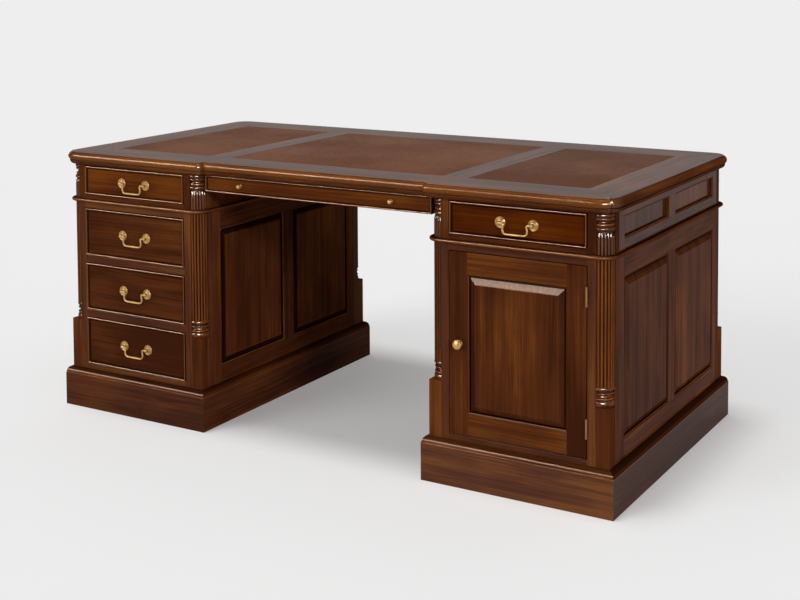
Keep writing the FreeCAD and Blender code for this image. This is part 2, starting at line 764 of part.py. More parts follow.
# Cupboard door of the right pedestal, hung on its right edge
door_h = opening_high - opening_low - 2 * front_gap
door_mid = (opening_high + opening_low) / 2
knob_x = knob_in - front_w / 2
members, panels = framed_panels(front_w, -door_h / 2, door_h / 2, door_stile_w, door_rail_h, door_rail_h,
                                0, door_t, True)
members = [member.cut(shank_hole(knob_x, 0)) for member in members]
door_knob = moved(knob(knob_rose_r, knob_rose_h, knob_neck_r, knob_neck_h, knob_r, knob_head_h), knob_x)
fixed_leaf, hung_leaf = hinge()
hinge_places = [s * (door_h / 2 - hinge_centre_in) for s in (-1, 1)]
fixed_leaves = [facing(moved(fixed_leaf, 0, y), 0, tower_x, -face_y, door_mid) for y in hinge_places]
hung_leaves = [moved(hung_leaf, 0, y) for y in hinge_places]
door_nodes = [("door", members + panels), ("door_knob", [door_knob]), ("door_hinge_leaves", hung_leaves)]
for node, pieces in door_nodes:
    placed = [facing(solid, 0, tower_x, -face_y, door_mid) for solid in pieces]
    keep_pair("front_%s" % node, "back_%s" % node, placed)
keep("fixed_hinge_leaves", fixed_leaves + half_turn(fixed_leaves))
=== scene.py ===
import json
import math
import random

import bmesh
import bpy
from bpy.props import FloatProperty, FloatVectorProperty, IntProperty, PointerProperty
from mathutils import Matrix, Vector

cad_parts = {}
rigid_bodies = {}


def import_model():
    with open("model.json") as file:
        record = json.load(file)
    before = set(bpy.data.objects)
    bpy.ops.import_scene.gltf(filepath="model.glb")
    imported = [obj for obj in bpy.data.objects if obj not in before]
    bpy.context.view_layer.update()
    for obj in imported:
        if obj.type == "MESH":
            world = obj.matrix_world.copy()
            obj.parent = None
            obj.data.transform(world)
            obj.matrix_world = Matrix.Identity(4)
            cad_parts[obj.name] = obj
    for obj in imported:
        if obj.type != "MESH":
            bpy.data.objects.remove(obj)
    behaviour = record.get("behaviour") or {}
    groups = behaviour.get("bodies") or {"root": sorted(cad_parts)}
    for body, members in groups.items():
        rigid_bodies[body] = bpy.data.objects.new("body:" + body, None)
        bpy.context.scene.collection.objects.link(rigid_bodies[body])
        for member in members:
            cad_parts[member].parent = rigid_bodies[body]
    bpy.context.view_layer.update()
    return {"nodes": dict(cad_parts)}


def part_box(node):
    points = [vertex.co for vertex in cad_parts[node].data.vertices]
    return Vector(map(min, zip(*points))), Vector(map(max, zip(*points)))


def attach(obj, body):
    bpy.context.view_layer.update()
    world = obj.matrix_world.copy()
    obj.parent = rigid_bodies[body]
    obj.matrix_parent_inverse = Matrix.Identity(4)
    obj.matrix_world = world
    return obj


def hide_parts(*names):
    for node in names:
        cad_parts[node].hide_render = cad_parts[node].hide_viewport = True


bl_info = {
    "name": "Partners Desk",
    "version": (1, 0, 0),
    "blender": (4, 5, 0),
    "location": "View3D > Sidebar > Desk",
    "description": "Dresses a mahogany partners desk: joinery, leathers, brass fittings and a plain studio",
    "category": "Add Mesh",
}

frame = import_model()

HALF_TURN = Matrix.Rotation(math.pi, 4, "Z")
QUARTER = math.pi / 2


# Settings

def length(label, value, text):
    return FloatProperty(name=label, description=text, default=value, min=0, unit="LENGTH", precision=5)


def colour(label, value, text):
    return FloatVectorProperty(name=label, description=text, default=value, size=3, min=0, max=1,
                               subtype="COLOR")


class DeskSizes(bpy.types.PropertyGroup):
    """Sizes of the joinery that the CAD boxes don't give."""
    soft_edge: length("Soft edge", 0.0005, "Rounding of the arrises")
    column_square: length("Column square", 0.036, "Side of the square notch that a quarter column stands in")
    stile: length("Stile", 0.023, "Width of the stile beside a column")
    frame_thickness: length("Frame thickness", 0.022, "Thickness of rails and framed panels")
    opening_gap: length("Opening gap", 0.002, "Gap round a drawer front or a door")
    side_stile: length("Panel stile", 0.039, "Stiles of the framed ends")
    muntin: length("Muntin", 0.058, "Upright between two panels")
    low_rail: length("Low rail", 0.0535, "Bottom rail of the framed ends")
    high_rail: length("High rail", 0.061, "Top rail of the framed ends")
    frieze_low_rail: length("Frieze low rail", 0.032, "Bottom rail of the frieze ends")
    frieze_high_rail: length("Frieze high rail", 0.022, "Top rail of the frieze ends")
    door_stile: length("Door stile", 0.0558, "Stiles of the doors")
    door_rail: length("Door rail", 0.062, "Rails of the doors")
    sticking: length("Sticking", 0.004, "Ovolo round a panel opening")
    sticking_quirk: length("Sticking quirk", 0.0007, "Small flat beside that ovolo")
    panel_depth: length("Panel depth", 0.009, "How far the edge of a panel lies behind the frame")
    panel_thickness: length("Panel thickness", 0.006, "Thickness of a panel at its edge")
    panel_reveal: length("Panel reveal", 0.0025, "Flat margin outside the bevel")
    panel_edge: length("Panel edge", 0.005, "How far the start of a bevel lies behind the frame")
    bevel_width: length("Bevel width", 0.017, "Width of a raised panel's bevel")
    bevel_rise: length("Bevel rise", 0.0065, "Rise of a raised panel's bevel")
    field_rise: length("Field rise", 0.0015, "Step from the bevel up to the field")
    plinth_projection: length("Plinth projection", 0.017, "How far the plinth stands out")
    plinth_board: length("Plinth board", 0.030, "Thickness of the plinth boards")
    plinth_face: length("Plinth face", 0.1015, "Height of the plinth below its moulding")
    plinth_quirk: length("Plinth quirk", 0.0015, "Small step under the plinth moulding")
    waist_projection: length("Waist projection", 0.0105, "How far the waist bead stands out")
    front_thickness: length("Front thickness", 0.018, "Thickness of a drawer front")
    field_depth: length("Field depth", 0.003, "How far a drawer front's field lies behind the frame")
    bead_width: length("Bead width", 0.0045, "Width of the bead round a drawer front")
    bead_proud: length("Bead height", 0.00575, "Height of the bead above the field")
    bead_shoulder: length("Bead shoulder", 0.0035, "Straight part of the bead")
    slope: length("Moulding slope", 0.004, "Width of the slope inside the bead")
    centre_slope: length("Shallow drawer slope", 0.0025, "Width of the slope on the shallow drawer")
    slope_foot: length("Slope foot", 0.0004, "Small step at the foot of that slope")
    lining: length("Drawer side", 0.012, "Thickness of drawer sides and backs")
    drawer_clearance: length("Drawer clearance", 0.0003, "Clearance under a drawer")
    drawer_bottom: length("Drawer bottom", 0.006, "Thickness of a drawer's bottom")
    drawer_groove: length("Drawer groove", 0.005, "How far a drawer's bottom goes into its grooves")
    drawer_lap: length("Drawer lap", 0.006, "Wood in front of the ends of a drawer's sides")
    side_drop: length("Side drop", 0.006, "How far a drawer's sides stay below its front")
    bottom_rise: length("Bottom rise", 0.009, "Height of a drawer's bottom above the foot of its sides")
    shallow_rise: length("Shallow bottom rise", 0.004, "The same in the shallow drawer")
    shallow_lift: length("Shallow side lift", 0.0053, "Sides of the shallow drawer above its front's foot")
    handle_spacing: length("Handle spacing", 0.091, "Distance between the rosettes of a handle")
    pivot_height: length("Pivot height", 0.011, "Height of a bail's pivots above the drawer front")
    bail_wire: length("Bail wire", 0.0026, "Radius of a bail")
    bail_grip: length("Bail grip", 0.0032, "Radius at the middle of a bail")
    bail_drop: length("Bail drop", 0.027, "Drop of a bail below its pivots")
    bail_stub: length("Bail stub", 0.0088, "Straight end of a bail from its turn to its pivot")
    bail_turn: length("Bail turn", 0.0045, "Radius of the turn at the top of a bail's arm")
    bail_corner: length("Bail corner", 0.011, "Radius of a bail's lower corners")
    bail_reveal: length("Bail reveal", 0.001, "Gap from a bail's end to its rosette's middle")
    bail_lean: FloatProperty(name="Bail lean", description="Outward lean of a bail's arms in degrees",
                             default=12)
    rosette: length("Rosette", 0.0147, "Radius of a rosette")
    ball: length("Ball", 0.005, "Radius of the ball that holds a bail")
    small_knob_out: length("Small knob place", 0.25, "Distance of a small knob from the desk's middle")
    ovolo_inset: length("Ovolo inset", 0.005, "Inset of the ovolo under the nosing")
    ovolo_height: length("Ovolo height", 0.012, "Height of the ovolo under the nosing")
    ovolo_round: length("Ovolo round", 0.0118, "Radius of the ovolo under the nosing")
    top_step_inset: length("Step inset", 0.010, "Inset of the step over the nosing")
    nosing_height: length("Nosing height", 0.0235, "Height of the nosing")
    nosing_round: length("Nosing round", 0.0116, "How far the nosing is rounded back")
    nosing_crease: length("Nosing crease", 0.003, "How far the nosing's round is cut short at its foot")
    top_arris: length("Top arris", 0.0009, "Rounding of the top's upper edge")
    cross_band: length("Cross band", 0.079, "Width of a cross band")
    leather_edge: length("Leather edge", 0.0011, "Rounding of the leathers' edges")
    break_depth: length("Break depth", 0.019, "How far the top breaks forward over the pedestals")
    break_half: length("Break half width", 0.360, "Half the width of the set-back part of the top")
    top_corner: length("Top corner", 0.056, "Radius of the top's corners")


class DeskColours(bpy.types.PropertyGroup):
    """Colours of the materials, as linear values."""
    wood_dark: colour("Wood, dark", (0.034, 0.0090, 0.0030), "Dark streaks of the mahogany")
    wood_middle: colour("Wood, middle", (0.064, 0.0172, 0.0052), "Body colour of the mahogany")
    wood_light: colour("Wood, light", (0.118, 0.0370, 0.0072), "Golden streaks of the mahogany")
    # The next two colours lay painted highlight on marked edges and painted shade and shadow in marked
    # hollows, gaps and bevels, besides rubbing and patina
    wood_rubbed: colour("Wood, rubbed", (0.170, 0.055, 0.0100), "Rubbed edges of the mahogany")
    wood_deep: colour("Wood, deep", (0.0060, 0.0018, 0.0006), "Dark stain in the hollows of the mahogany")
    lining_dark: colour("Lining, dark", (0.120, 0.060, 0.026), "Dark streaks of the drawer linings")
    lining_middle: colour("Lining, middle", (0.210, 0.115, 0.052), "Body colour of the drawer linings")
    lining_light: colour("Lining, light", (0.310, 0.185, 0.090), "Pale streaks of the drawer linings")
    lining_rubbed: colour("Lining, rubbed", (0.330, 0.200, 0.100), "Edges of the drawer linings")
    lining_deep: colour("Lining, deep", (0.080, 0.038, 0.016), "Hollows of the drawer linings")
    leather_dark: colour("Leather, dark", (0.090, 0.031, 0.012), "Creases of the leather")
    leather_light: colour("Leather, light", (0.155, 0.058, 0.025), "Body colour of the leather")
    brass_bright: colour("Brass, bright", (0.66, 0.40, 0.155), "Rubbed brass")
    brass_dull: colour("Brass, dull", (0.38, 0.215, 0.078), "Toned brass")
    hinge_bright: colour("Hinge, bright", (0.34, 0.20, 0.085), "Rubbed metal of the hinges")
    hinge_dull: colour("Hinge, dull", (0.20, 0.11, 0.045), "Toned metal of the hinges")
    glint: colour("Glint", (1.0, 0.78, 0.62), "Warm reflections of the lamps")
    floor: colour("Floor", (0.94, 0.94, 0.94), "Studio floor")
    background: colour("Background", (1.0, 1.0, 1.0), "Pale glow of the floor to the camera")


class DeskReeds(bpy.types.PropertyGroup):
    """Shape of the reeded quarter columns."""
    count: IntProperty(name="Reeds", description="Reeds on a quarter column", default=6, min=2)
    facets: IntProperty(name="Facets", description="Faces across one reed", default=8, min=4)
    ring: length("Ring radius", 0.0348, "Largest radius of the turned rings")
    reed: length("Reed radius", 0.0343, "Radius over the reeds")
    valley: length("Valley radius", 0.0315, "Radius between the reeds")
    block: length("Block height", 0.149, "Height of the square block under a column")
    short_shaft: length("Short shaft", 0.0545, "Height of the reeds in the frieze")
    nose: length("Reed nose", 0.018, "Rounded ends of the short reeds")


# Turned steps from below: height, inset of the middle where it is curved, inset of the end
BASE_FOOT = 0.0034
BASE_STEPS = ((0.0150, 0.0003, 0.0034), (0.0030, 0.0034), (0.0040, 0.0012, 0.0032),
              (0.0095, 0.0072, 0.0032), (0.0030, 0.0016, 0.0034), (0.0065, 0.0034), (0.0085, 0.0, 0.0032))
CAPITAL_FOOT = 0.0046
CAPITAL_STEPS = ((0.0040, 0.0046), (0.0100, 0.0, 0.0044), (0.0020, 0.0044), (0.0060, 0.0028, 0.0048),
                 (0.0095, 0.0080, 0.0026), (0.0035, 0.0012, 0.0026), (0.0030, 0.0032),
                 (0.0090, 0.0003, 0.0032))

# Fineness: points of a curved step, steps of a reed's nose, of an arc in the top's edge, of a waist corner
STEP_POINTS = 8
NOSE_STEPS = 6
CORNER_STEPS = 10
WAIST_STEPS = 12

# Directions in degrees in which the corners of a plan start, from front left round by front right
CORNER_STARTS = (180, 270, 0, 90)

# Outlines in shares of a radius and of a height: a knob's neck, the low and the high part of its head; the
# middle, radii and arc of the round between these; the round of its rose in shares of the rose's height
NECK_SHARES = ((1.35, 0.0), (1.08, 0.15), (0.94, 0.45), (1.0, 0.7), (1.3, 0.86), (1.3, 1.0))
HEAD_LOW_SHARES = ((0.62, 0.06), (0.86, 0.18))
HEAD_HIGH_SHARES = ((0.66, 0.84), (0.45, 0.93), (0.22, 0.985), (0.04, 1.0))
HEAD_ROUND = ((0.72, 0.46), (0.28, 0.32), (-40, 75, 9))
ROSE_ROUND = 0.55

# Knobs: radius and height of the rose, the neck and the head, faces round the axis
DOOR_KNOB = ((0.009, 0.002), (0.0042, 0.0075), (0.0128, 0.012), 56)
SMALL_KNOB = ((0.0045, 0.0012), (0.0024, 0.0065), (0.0062, 0.009), 40)

# Handles: arc of the ball, faces round a rosette and a bail, steps along half a bail's grip, corner, arm,
# turn and stub, share of the drop from which a bail swells to its grip
BALL_ARC = (-52, 89, 14)
ROSETTE_FACES, BAIL_FACES = 48, 20
BAIL_STEPS = (14, 12, 5, 10, 5)
GRIP_LEVEL = 0.98

# Rose of a handle: share of its radius, height
ROSE = ((1.0, 0.0), (1.0, 0.0008), (0.975, 0.0014), (0.93, 0.0017), (0.885, 0.0014), (0.855, 0.0012),
        (0.82, 0.0018), (0.77, 0.0026), (0.70, 0.0029), (0.64, 0.0026), (0.60, 0.0025), (0.56, 0.0031),
        (0.50, 0.0040), (0.43, 0.0044), (0.37, 0.0044), (0.32, 0.0049), (0.26, 0.0056), (0.22, 0.0063))


# Shine of the lacquer. Pairs are edges along X and along Y; fours are low or front, right, high or back, left
EDGE_SHINE = (0.025, 0.008)
CORNER_SHINE = 0.12
COLUMN_SHINE = 0.03
RING_SHINE = 0.10
BEAD_SHINE = 0.08
PLINTH_SHINE = (0.016, 0.0)
PLINTH_FACES = (0.04, 0.03, 0.10, 0.22)
STICKING_SHINE = 0.012
SIDE_SHINE = 0.075
FRIEZE_SHINE = 0.20
TOP_SHINE = 0.33
BEVEL_SHINE = (0.0, 0.005, 0.013, 0.0)
END_SHINE = (0.03, 0.06, 0.008, 0.06)

# The nosing's shine fades from left to right: share at the middle, loss per metre, least share
NOSING_FADE = (0.5, 0.6, 0.15)

# Mark of lighter edges and darker hollows along outlines, partly rubbing and patina and partly painted
# highlight and painted shade: how far it fades on flat runs and reaches round a turn, the turn of a full edge
WEAR_AND_SHADING_FADE = 0.003
WEAR_AND_SHADING_REACH = 0.0014
WEAR_AND_SHADING_TURN = math.radians(75)

# The mark is 1 on edges painted light and -1 in hollows painted dark: painted highlight on the nosing,
# painted shadow in the drawer mouldings, painted shade on the plinth moulding
NOSING_HIGHLIGHT = 0.7
DRAWER_SHADOW = -0.8
PLINTH_SHADE = -0.6

# Shares of a moulding: part of the nosing with a painted highlight, part of the plinth moulding below its
# painted shade, outer foot of a bead painted dark as the shadow in its gap
NOSING_HIGHLIT = 0.7
PLINTH_UNSHADED = 0.45
BEAD_SHADOW_FOOT = 0.1

# Slope of a drawer front: points, power of its hollow curve
HOLLOW_POINTS, HOLLOW_POWER = 5, 1.35

# Round edge of the leathers: height over width
LEATHER_ROUND = 0.8

# Painted highlight on long edges: least, rise towards edges along X, which leaves the edges along Y darker,
# loss towards the back of the waist bead, which paints its top and underside dark as shade
LONG_EDGE_LIGHT = (0.2, 0.5)
WAIST_SHADE = 1.4

# Painted highlight and shade over a reed, light crowns and dark valleys: rise from the valley to the crown,
# how late it rises
REED_SHADING = (1.65, 3)

# Drawer fronts: name, lightness of the board, redness of the board
BOARDS = (("left_frieze", 2.6, 0.45), ("right_frieze", -2.0, 1.0), ("lower", -3.0, 0.0),
          ("middle", 0.0, 0.0), ("upper", 0.5, 0.0))
SHALLOW_BOARD = ("centre", 1.6, 0.4)

# Lightness of the plinth's boards (front, right, back, left), lowered on three sides as painted shade near
# the floor, and of the door's stiles, rails and panel
PLINTH_SHADES = (-2.4, -0.9, 2.8, -4.5)
DOOR_SHADES = (0.5, -1.8, 1.8, 2.3)
DOOR_PANEL = -0.9

# Lightness of the top, the tall columns, the frieze ends and the three leathers, the right leather darkened
# as painted shade; redness of the columns
TOP_SHADE = 0.5
COLUMN_SHADE = 1.0
FRIEZE_SHADE = -1.0
LEATHERS = (0.0, 0.6, -5.0)
COLUMN_WARM = 0.6

# Sides of a pedestal, outer and towards the kneehole: shine, lightness, side of the sticking without lighter
# edges and darker hollows, shine of the bevels and how dark the bevels are painted as shade, far darker
# towards the kneehole
BEVEL_SHADE = 0.6
OUTER_SIDE = (SIDE_SHINE, -0.6, 1, END_SHINE, BEVEL_SHADE)
KNEEHOLE_SIDE = (0.0, 0.2, None, None, 3.0)

# Turns from which edges are kept sharp or are rounded, distance of points that count as one
SHARP_TURN = math.radians(38)
ROUNDED_TURN = math.radians(26)
SAME_POINT = 0.0000001

# Reach of the log that boards are cut from
LOG = 9

# Finishes of the nodes that keep their CAD shape
KEPT_NODES = {"inside_boards": ("left_inside", "right_inside", "top_under_boards"),
              "hidden_mahogany": ("frieze_inside",),
              "toned_brass": ("fixed_hinge_leaves", "front_door_hinge_leaves", "back_door_hinge_leaves")}

# Lamps: name, strength, direction, angle in degrees, pieces lit, whether only reflections show it
LAMPS = (("key", 1.4, (-0.47, -0.83, 0.30), 40, None, False),
         ("overhead", 1.3, (-0.08, -0.06, 0.99), 16, None, False),
         ("side", 1.8, (0.80, -0.47, 0.37), 12, "desk", False),
         ("key glint", 13, (-0.42, -0.81, 0.42), 22, "lacquered", True),
         ("left glint", 14, (-0.68, -0.66, 0.32), 24, "lacquered", True),
         ("front glint", 28, (0.52, -0.83, 0.12), 28, "lacquered", True))

# World: plain strength, strength that the camera sees, added strength of the strip behind on the left, which
# starts towards the back and ends towards the right and upwards
WORLD_STRENGTH = 0.32
WORLD_SEEN = 0.86
STRIP_STRENGTH = 0.45
STRIP_BACK, STRIP_RIGHT, STRIP_UP = (-0.2, 0.8), (-0.15, 0.25), (0.10, 0.45)

# Floor: half its side, roughness, share of the pale glow
FLOOR_REACH = 120
FLOOR_ROUGHNESS = 0.9
FLOOR_GLOW = 0.20

# Camera: place, turn, tilt and roll in degrees, lens and sensor in millimetres, shift, far end
CAMERA_PLACE = (2.1155, -3.5667, 1.3627)
CAMERA_TURN, CAMERA_TILT, CAMERA_ROLL = 31.273, 3.386, -0.366
CAMERA_LENS, CAMERA_SENSOR = 62.40, 36
CAMERA_SHIFT = (0.0309, -0.3224)
CAMERA_END = 300


# Shader building

def link(tree, node, key, value):
    """Sets an input to a number, or joins it to another node's output."""
    if isinstance(value, bpy.types.NodeSocket):
        tree.links.new(value, node.inputs[key])
    elif value is not None:
        node.inputs[key].default_value = value


def calc(tree, operation, first, second=None, third=None):
    node = tree.nodes.new("ShaderNodeMath")
    node.operation = operation
    for key, value in enumerate((first, second, third)):
        link(tree, node, key, value)
    return node.outputs[0]


def stretch(tree, vector, scale):
    """A vector scaled by axis, which draws a pattern out along the grain."""
    node = tree.nodes.new("ShaderNodeVectorMath")
    node.operation = "MULTIPLY"
    link(tree, node, 0, vector)
    link(tree, node, 1, scale)
    return node.outputs[0]


def noise(tree, vector, scale=1.0, detail=2.0, rough=0.5):
    node = tree.nodes.new("ShaderNodeTexNoise")
    link(tree, node, "Vector", vector)
    link(tree, node, "Scale", scale)
    link(tree, node, "Detail", detail)
    link(tree, node, "Roughness", rough)
    return node


def grained(tree, vector, along, across, detail=2.0, rough=0.5):
    """Noise drawn out along the first axis; along and across are its cells to the metre."""
    return noise(tree, stretch(tree, vector, (along, across, across)), detail=detail, rough=rough)


def span(tree, value, low, high, new_low=0.0, new_high=1.0):
    node = tree.nodes.new("ShaderNodeMapRange")
    node.interpolation_type = "SMOOTHSTEP"
    for key, number in enumerate((value, low, high, new_low, new_high)):
        link(tree, node, key, number)
    return node.outputs[0]


def blend(tree, factor, first, second, kind="MIX"):
    node = tree.nodes.new("ShaderNodeMix")
    node.data_type = "RGBA"
    node.blend_type = kind
    link(tree, node, 0, factor)
    link(tree, node, 6, first)
    link(tree, node, 7, second)
    return node.outputs[2]


def new_group(name, inputs):
    """A node group that puts out a colour, a roughness and a height for bumps."""
    group = bpy.data.node_groups.new(name, "ShaderNodeTree")
    for label, kind in inputs:
        group.interface.new_socket(label, in_out="INPUT", socket_type="NodeSocket" + kind)
    for label, kind in (("Colour", "Color"), ("Roughness", "Float"), ("Height", "Float")):
        group.interface.new_socket(label, in_out="OUTPUT", socket_type="NodeSocket" + kind)
    return group, group.nodes.new("NodeGroupInput").outputs, group.nodes.new("NodeGroupOutput")


# Inputs of the wood besides its grain: marks that the mesh carries, colours
WOOD_MARKS = ("Tone", "Wear", "Warm")
WOOD_TONES = ("Dark", "Middle", "Light", "Rubbed", "Deep")


def wood_group():
    """Streaked, banded wood with fine pores, drawn out along the first axis of the grain vector."""
    inputs = [("Grain", "Vector")] + [(name, "Float") for name in WOOD_MARKS]
    inputs += [(name, "Color") for name in WOOD_TONES]
    tree, given, result = new_group("wood_grain", inputs)
    drift = grained(tree, given["Grain"], 1.3, 6.0).outputs[1]
    bent = tree.nodes.new("ShaderNodeVectorMath")
    bent.operation = "MULTIPLY_ADD"
    link(tree, bent, 0, drift)
    link(tree, bent, 1, (0.0, 0.030, 0.030))
    link(tree, bent, 2, given["Grain"])
    along = bent.outputs[0]
    bands = grained(tree, along, 1.1, 34.0, 3.0, 0.55).outputs[0]
    streaks = grained(tree, along, 3.0, 190.0, 4.0, 0.62).outputs[0]
    clouds = grained(tree, given["Grain"], 3.2, 7.0, 3.0).outputs[0]
    pores = span(tree, grained(tree, along, 60.0, 1500.0, 1.0).outputs[0], 0.60, 0.72)
    figure = calc(tree, "MULTIPLY", bands, 0.27)
    for pattern, share in ((streaks, 0.33), (clouds, 0.40), (given["Tone"], 0.035)):
        figure = calc(tree, "MULTIPLY_ADD", pattern, share, figure)
    body = blend(tree, span(tree, figure, 0.40, 0.51), given["Dark"], given["Middle"])
    body = blend(tree, span(tree, figure, 0.50, 0.63), body, given["Light"])
    body = blend(tree, calc(tree, "MULTIPLY", pores, 0.55), body, given["Dark"])
    body = blend(tree, given["Warm"], body, (1.0, 0.72, 0.20, 1.0), "MULTIPLY")
    # Marked edges take the rubbing colour and marked hollows the deep colour: painted highlight and painted
    # shade as well as rubbing and patina
    patchy = span(tree, clouds, 0.2, 0.7, 0.45, 0.9)
    rubbed_and_lit = calc(tree, "MULTIPLY", span(tree, given["Wear"], 0.0, 1.0), patchy)
    deep = span(tree, given["Wear"], -1.0, 0.0, 1.0, 0.0)
    body = blend(tree, rubbed_and_lit, body, given["Rubbed"])
    body = blend(tree, calc(tree, "MULTIPLY", deep, 0.9), body, given["Deep"])
    rough = 0.26
    for pattern, share in ((streaks, 0.10), (pores, 0.12), (deep, 0.30)):
        rough = calc(tree, "MULTIPLY_ADD", pattern, share, rough)
    height = calc(tree, "MULTIPLY_ADD", pores, -0.6, streaks)
    link(tree, result, "Colour", body)
    link(tree, result, "Roughness", rough)
    link(tree, result, "Height", height)
    return tree


def leather_group():
    """Fine pebbled leather with soft lighter and darker patches."""
    inputs = [("Place", "Vector"), ("Tone", "Float"), ("Dark", "Color"), ("Light", "Color")]
    tree, given, result = new_group("leather_grain", inputs)
    pebble = tree.nodes.new("ShaderNodeTexVoronoi")
    pebble.feature = "SMOOTH_F1"
    link(tree, pebble, "Vector", given["Place"])
    link(tree, pebble, "Scale", 620.0)
    link(tree, pebble, "Smoothness", 0.35)
    crease = span(tree, pebble.outputs[0], 0.35, 0.75)
    patches = noise(tree, given["Place"], 3.4, 4.0, 0.6).outputs[0]
    mottle = noise(tree, given["Place"], 60.0, 3.0, 0.6).outputs[0]
    shade = calc(tree, "MULTIPLY_ADD", mottle, 0.35, calc(tree, "MULTIPLY", patches, 0.65))
    # Tone carries each leather's lightness; the right leather's is lowered as painted shade
    toned_and_shaded = calc(tree, "MULTIPLY_ADD", given["Tone"], 0.03, shade)
    body = blend(tree, span(tree, toned_and_shaded, 0.30, 0.62), given["Dark"], given["Light"])
    body = blend(tree, calc(tree, "MULTIPLY", crease, 0.45), body, given["Dark"])
    link(tree, result, "Colour", body)
    link(tree, result, "Roughness", span(tree, shade, 0.3, 0.7, 0.62, 0.50))
    link(tree, result, "Height", calc(tree, "SUBTRACT", calc(tree, "MULTIPLY", mottle, 0.3), crease))
    return tree


def brass_group():
    """Rubbed brass with toned patches and fine scratches."""
    inputs = [("Place", "Vector"), ("Wear", "Float"), ("Bright", "Color"), ("Dull", "Color")]
    tree, given, result = new_group("brass_tone", inputs)
    toned = noise(tree, given["Place"], 55.0, 5.0, 0.6).outputs[0]
    spots = noise(tree, given["Place"], 420.0, 3.0, 0.6).outputs[0]
    lines = noise(tree, stretch(tree, given["Place"], (900.0, 120.0, 2600.0))).outputs[0]
    shade = calc(tree, "MULTIPLY_ADD", spots, 0.4, calc(tree, "MULTIPLY", toned, 0.6))
    body = blend(tree, span(tree, shade, 0.40, 0.68), given["Bright"], given["Dull"])
    deep = span(tree, given["Wear"], -0.8, 0.0, 0.85, 0.0)
    link(tree, result, "Colour", blend(tree, deep, body, (0.055, 0.028, 0.010, 1.0)))
    link(tree, result, "Roughness", span(tree, shade, 0.35, 0.7, 0.26, 0.44))
    link(tree, result, "Height", calc(tree, "MULTIPLY_ADD", lines, 0.5, spots))
    return tree


def attribute(tree, name, output):
    node = tree.nodes.new("ShaderNodeAttribute")
    node.attribute_name = name
    return node.outputs[output]


def object_place(tree):
    return tree.nodes.new("ShaderNodeTexCoord").outputs["Object"]


def new_material(name, group, inputs, bump, **constants):
    """A material whose colour, roughness and bumps come from a group."""
    material = bpy.data.materials.new(name)
    material.use_nodes = True
    tree = material.node_tree
    shader = tree.nodes["Principled BSDF"]
    effect = tree.nodes.new("ShaderNodeGroup")
    effect.node_tree = group
    for label, value in inputs(tree).items():
        if isinstance(value, bpy.types.NodeSocket):
            tree.links.new(value, effect.inputs[label])
        else:
            effect.inputs[label].default_value = tuple(value) + (1.0,)
    relief = tree.nodes.new("ShaderNodeBump")
    relief.inputs["Strength"].default_value = bump[0]
    relief.inputs["Distance"].default_value = bump[1]
    tree.links.new(effect.outputs["Height"], relief.inputs["Height"])
    tree.links.new(effect.outputs["Colour"], shader.inputs["Base Color"])
    tree.links.new(effect.outputs["Roughness"], shader.inputs["Roughness"])
    tree.links.new(relief.outputs[0], shader.inputs["Normal"])
    for label, value in constants.items():
        shader.inputs[label.replace("_", " ")].default_value = value
    return material


def make_materials(colours):
    wood, leather, brass = wood_group(), leather_group(), brass_group()

    def wood_inputs(tree, grain, name):
        tones = {key: getattr(colours, name + "_" + key.lower()) for key in WOOD_TONES}
        marks = {key: attribute(tree, key.lower(), "Fac") for key in WOOD_MARKS}
        return {"Grain": grain, **marks, **tones}

    def polished(tree):
        return wood_inputs(tree, attribute(tree, "grain", "Vector"), "wood")

    def lining(tree):
        return wood_inputs(tree, attribute(tree, "grain", "Vector"), "lining")

    def boards(tree):
        return wood_inputs(tree, object_place(tree), "lining")

    def hidden(tree):
        return wood_inputs(tree, object_place(tree), "wood")

    def hide(tree):
        return {"Place": object_place(tree), "Tone": attribute(tree, "tone", "Fac"),
                "Dark": colours.leather_dark, "Light": colours.leather_light}

    def metal(tree):
        return {"Place": object_place(tree), "Wear": attribute(tree, "wear", "Fac"),
                "Bright": colours.brass_bright, "Dull": colours.brass_dull}

    def toned(tree):
        return {**metal(tree), "Bright": colours.hinge_bright, "Dull": colours.hinge_dull}

    for name in ("polished_mahogany", "top_mahogany"):
        tree = new_material(name, wood, polished, (0.10, 0.0004), Specular_IOR_Level=0.0,
                            Coat_Roughness=0.16, Coat_IOR=2.2).node_tree
        uneven = span(tree, tree.nodes["Group"].outputs["Height"], 0.15, 0.75, 0.8, 1.15)
        coat = calc(tree, "MULTIPLY_ADD", attribute(tree, "polish", "Fac"), uneven, 0.004)
        tree.links.new(coat, tree.nodes["Principled BSDF"].inputs["Coat Weight"])
    new_material("drawer_lining", wood, lining, (0.25, 0.0004), Specular_IOR_Level=0.25)
    new_material("inside_boards", wood, boards, (0.25, 0.0004), Specular_IOR_Level=0.25)
    new_material("hidden_mahogany", wood, hidden, (0.20, 0.0004), Specular_IOR_Level=0.0)
    new_material("desk_leather", leather, hide, (0.45, 0.0003), Specular_IOR_Level=0.05)
    new_material("rubbed_brass", brass, metal, (0.12, 0.0002), Metallic=1.0)
    new_material("toned_brass", brass, toned, (0.12, 0.0002), Metallic=1.0)


# Geometry building

def clamp(value, low, high):
    return min(max(value, low), high)


def rectangle(xs, ys, inset=0):
    """Corners of a rectangle, from low left round by low right."""
    left, right = xs[0] + inset, xs[1] - inset
    low, high = ys[0] + inset, ys[1] - inset
    return (left, low), (right, low), (right, high), (left, high)


def facing(turn, x, y, z):
    """Stands a piece drawn flat (x across, y up, z outwards) upright; no turn faces it to the front."""
    upright = Matrix.Rotation(turn, 4, "Z") @ Matrix.Rotation(QUARTER, 4, "X")
    return Matrix.Translation((x, y, z)) @ upright


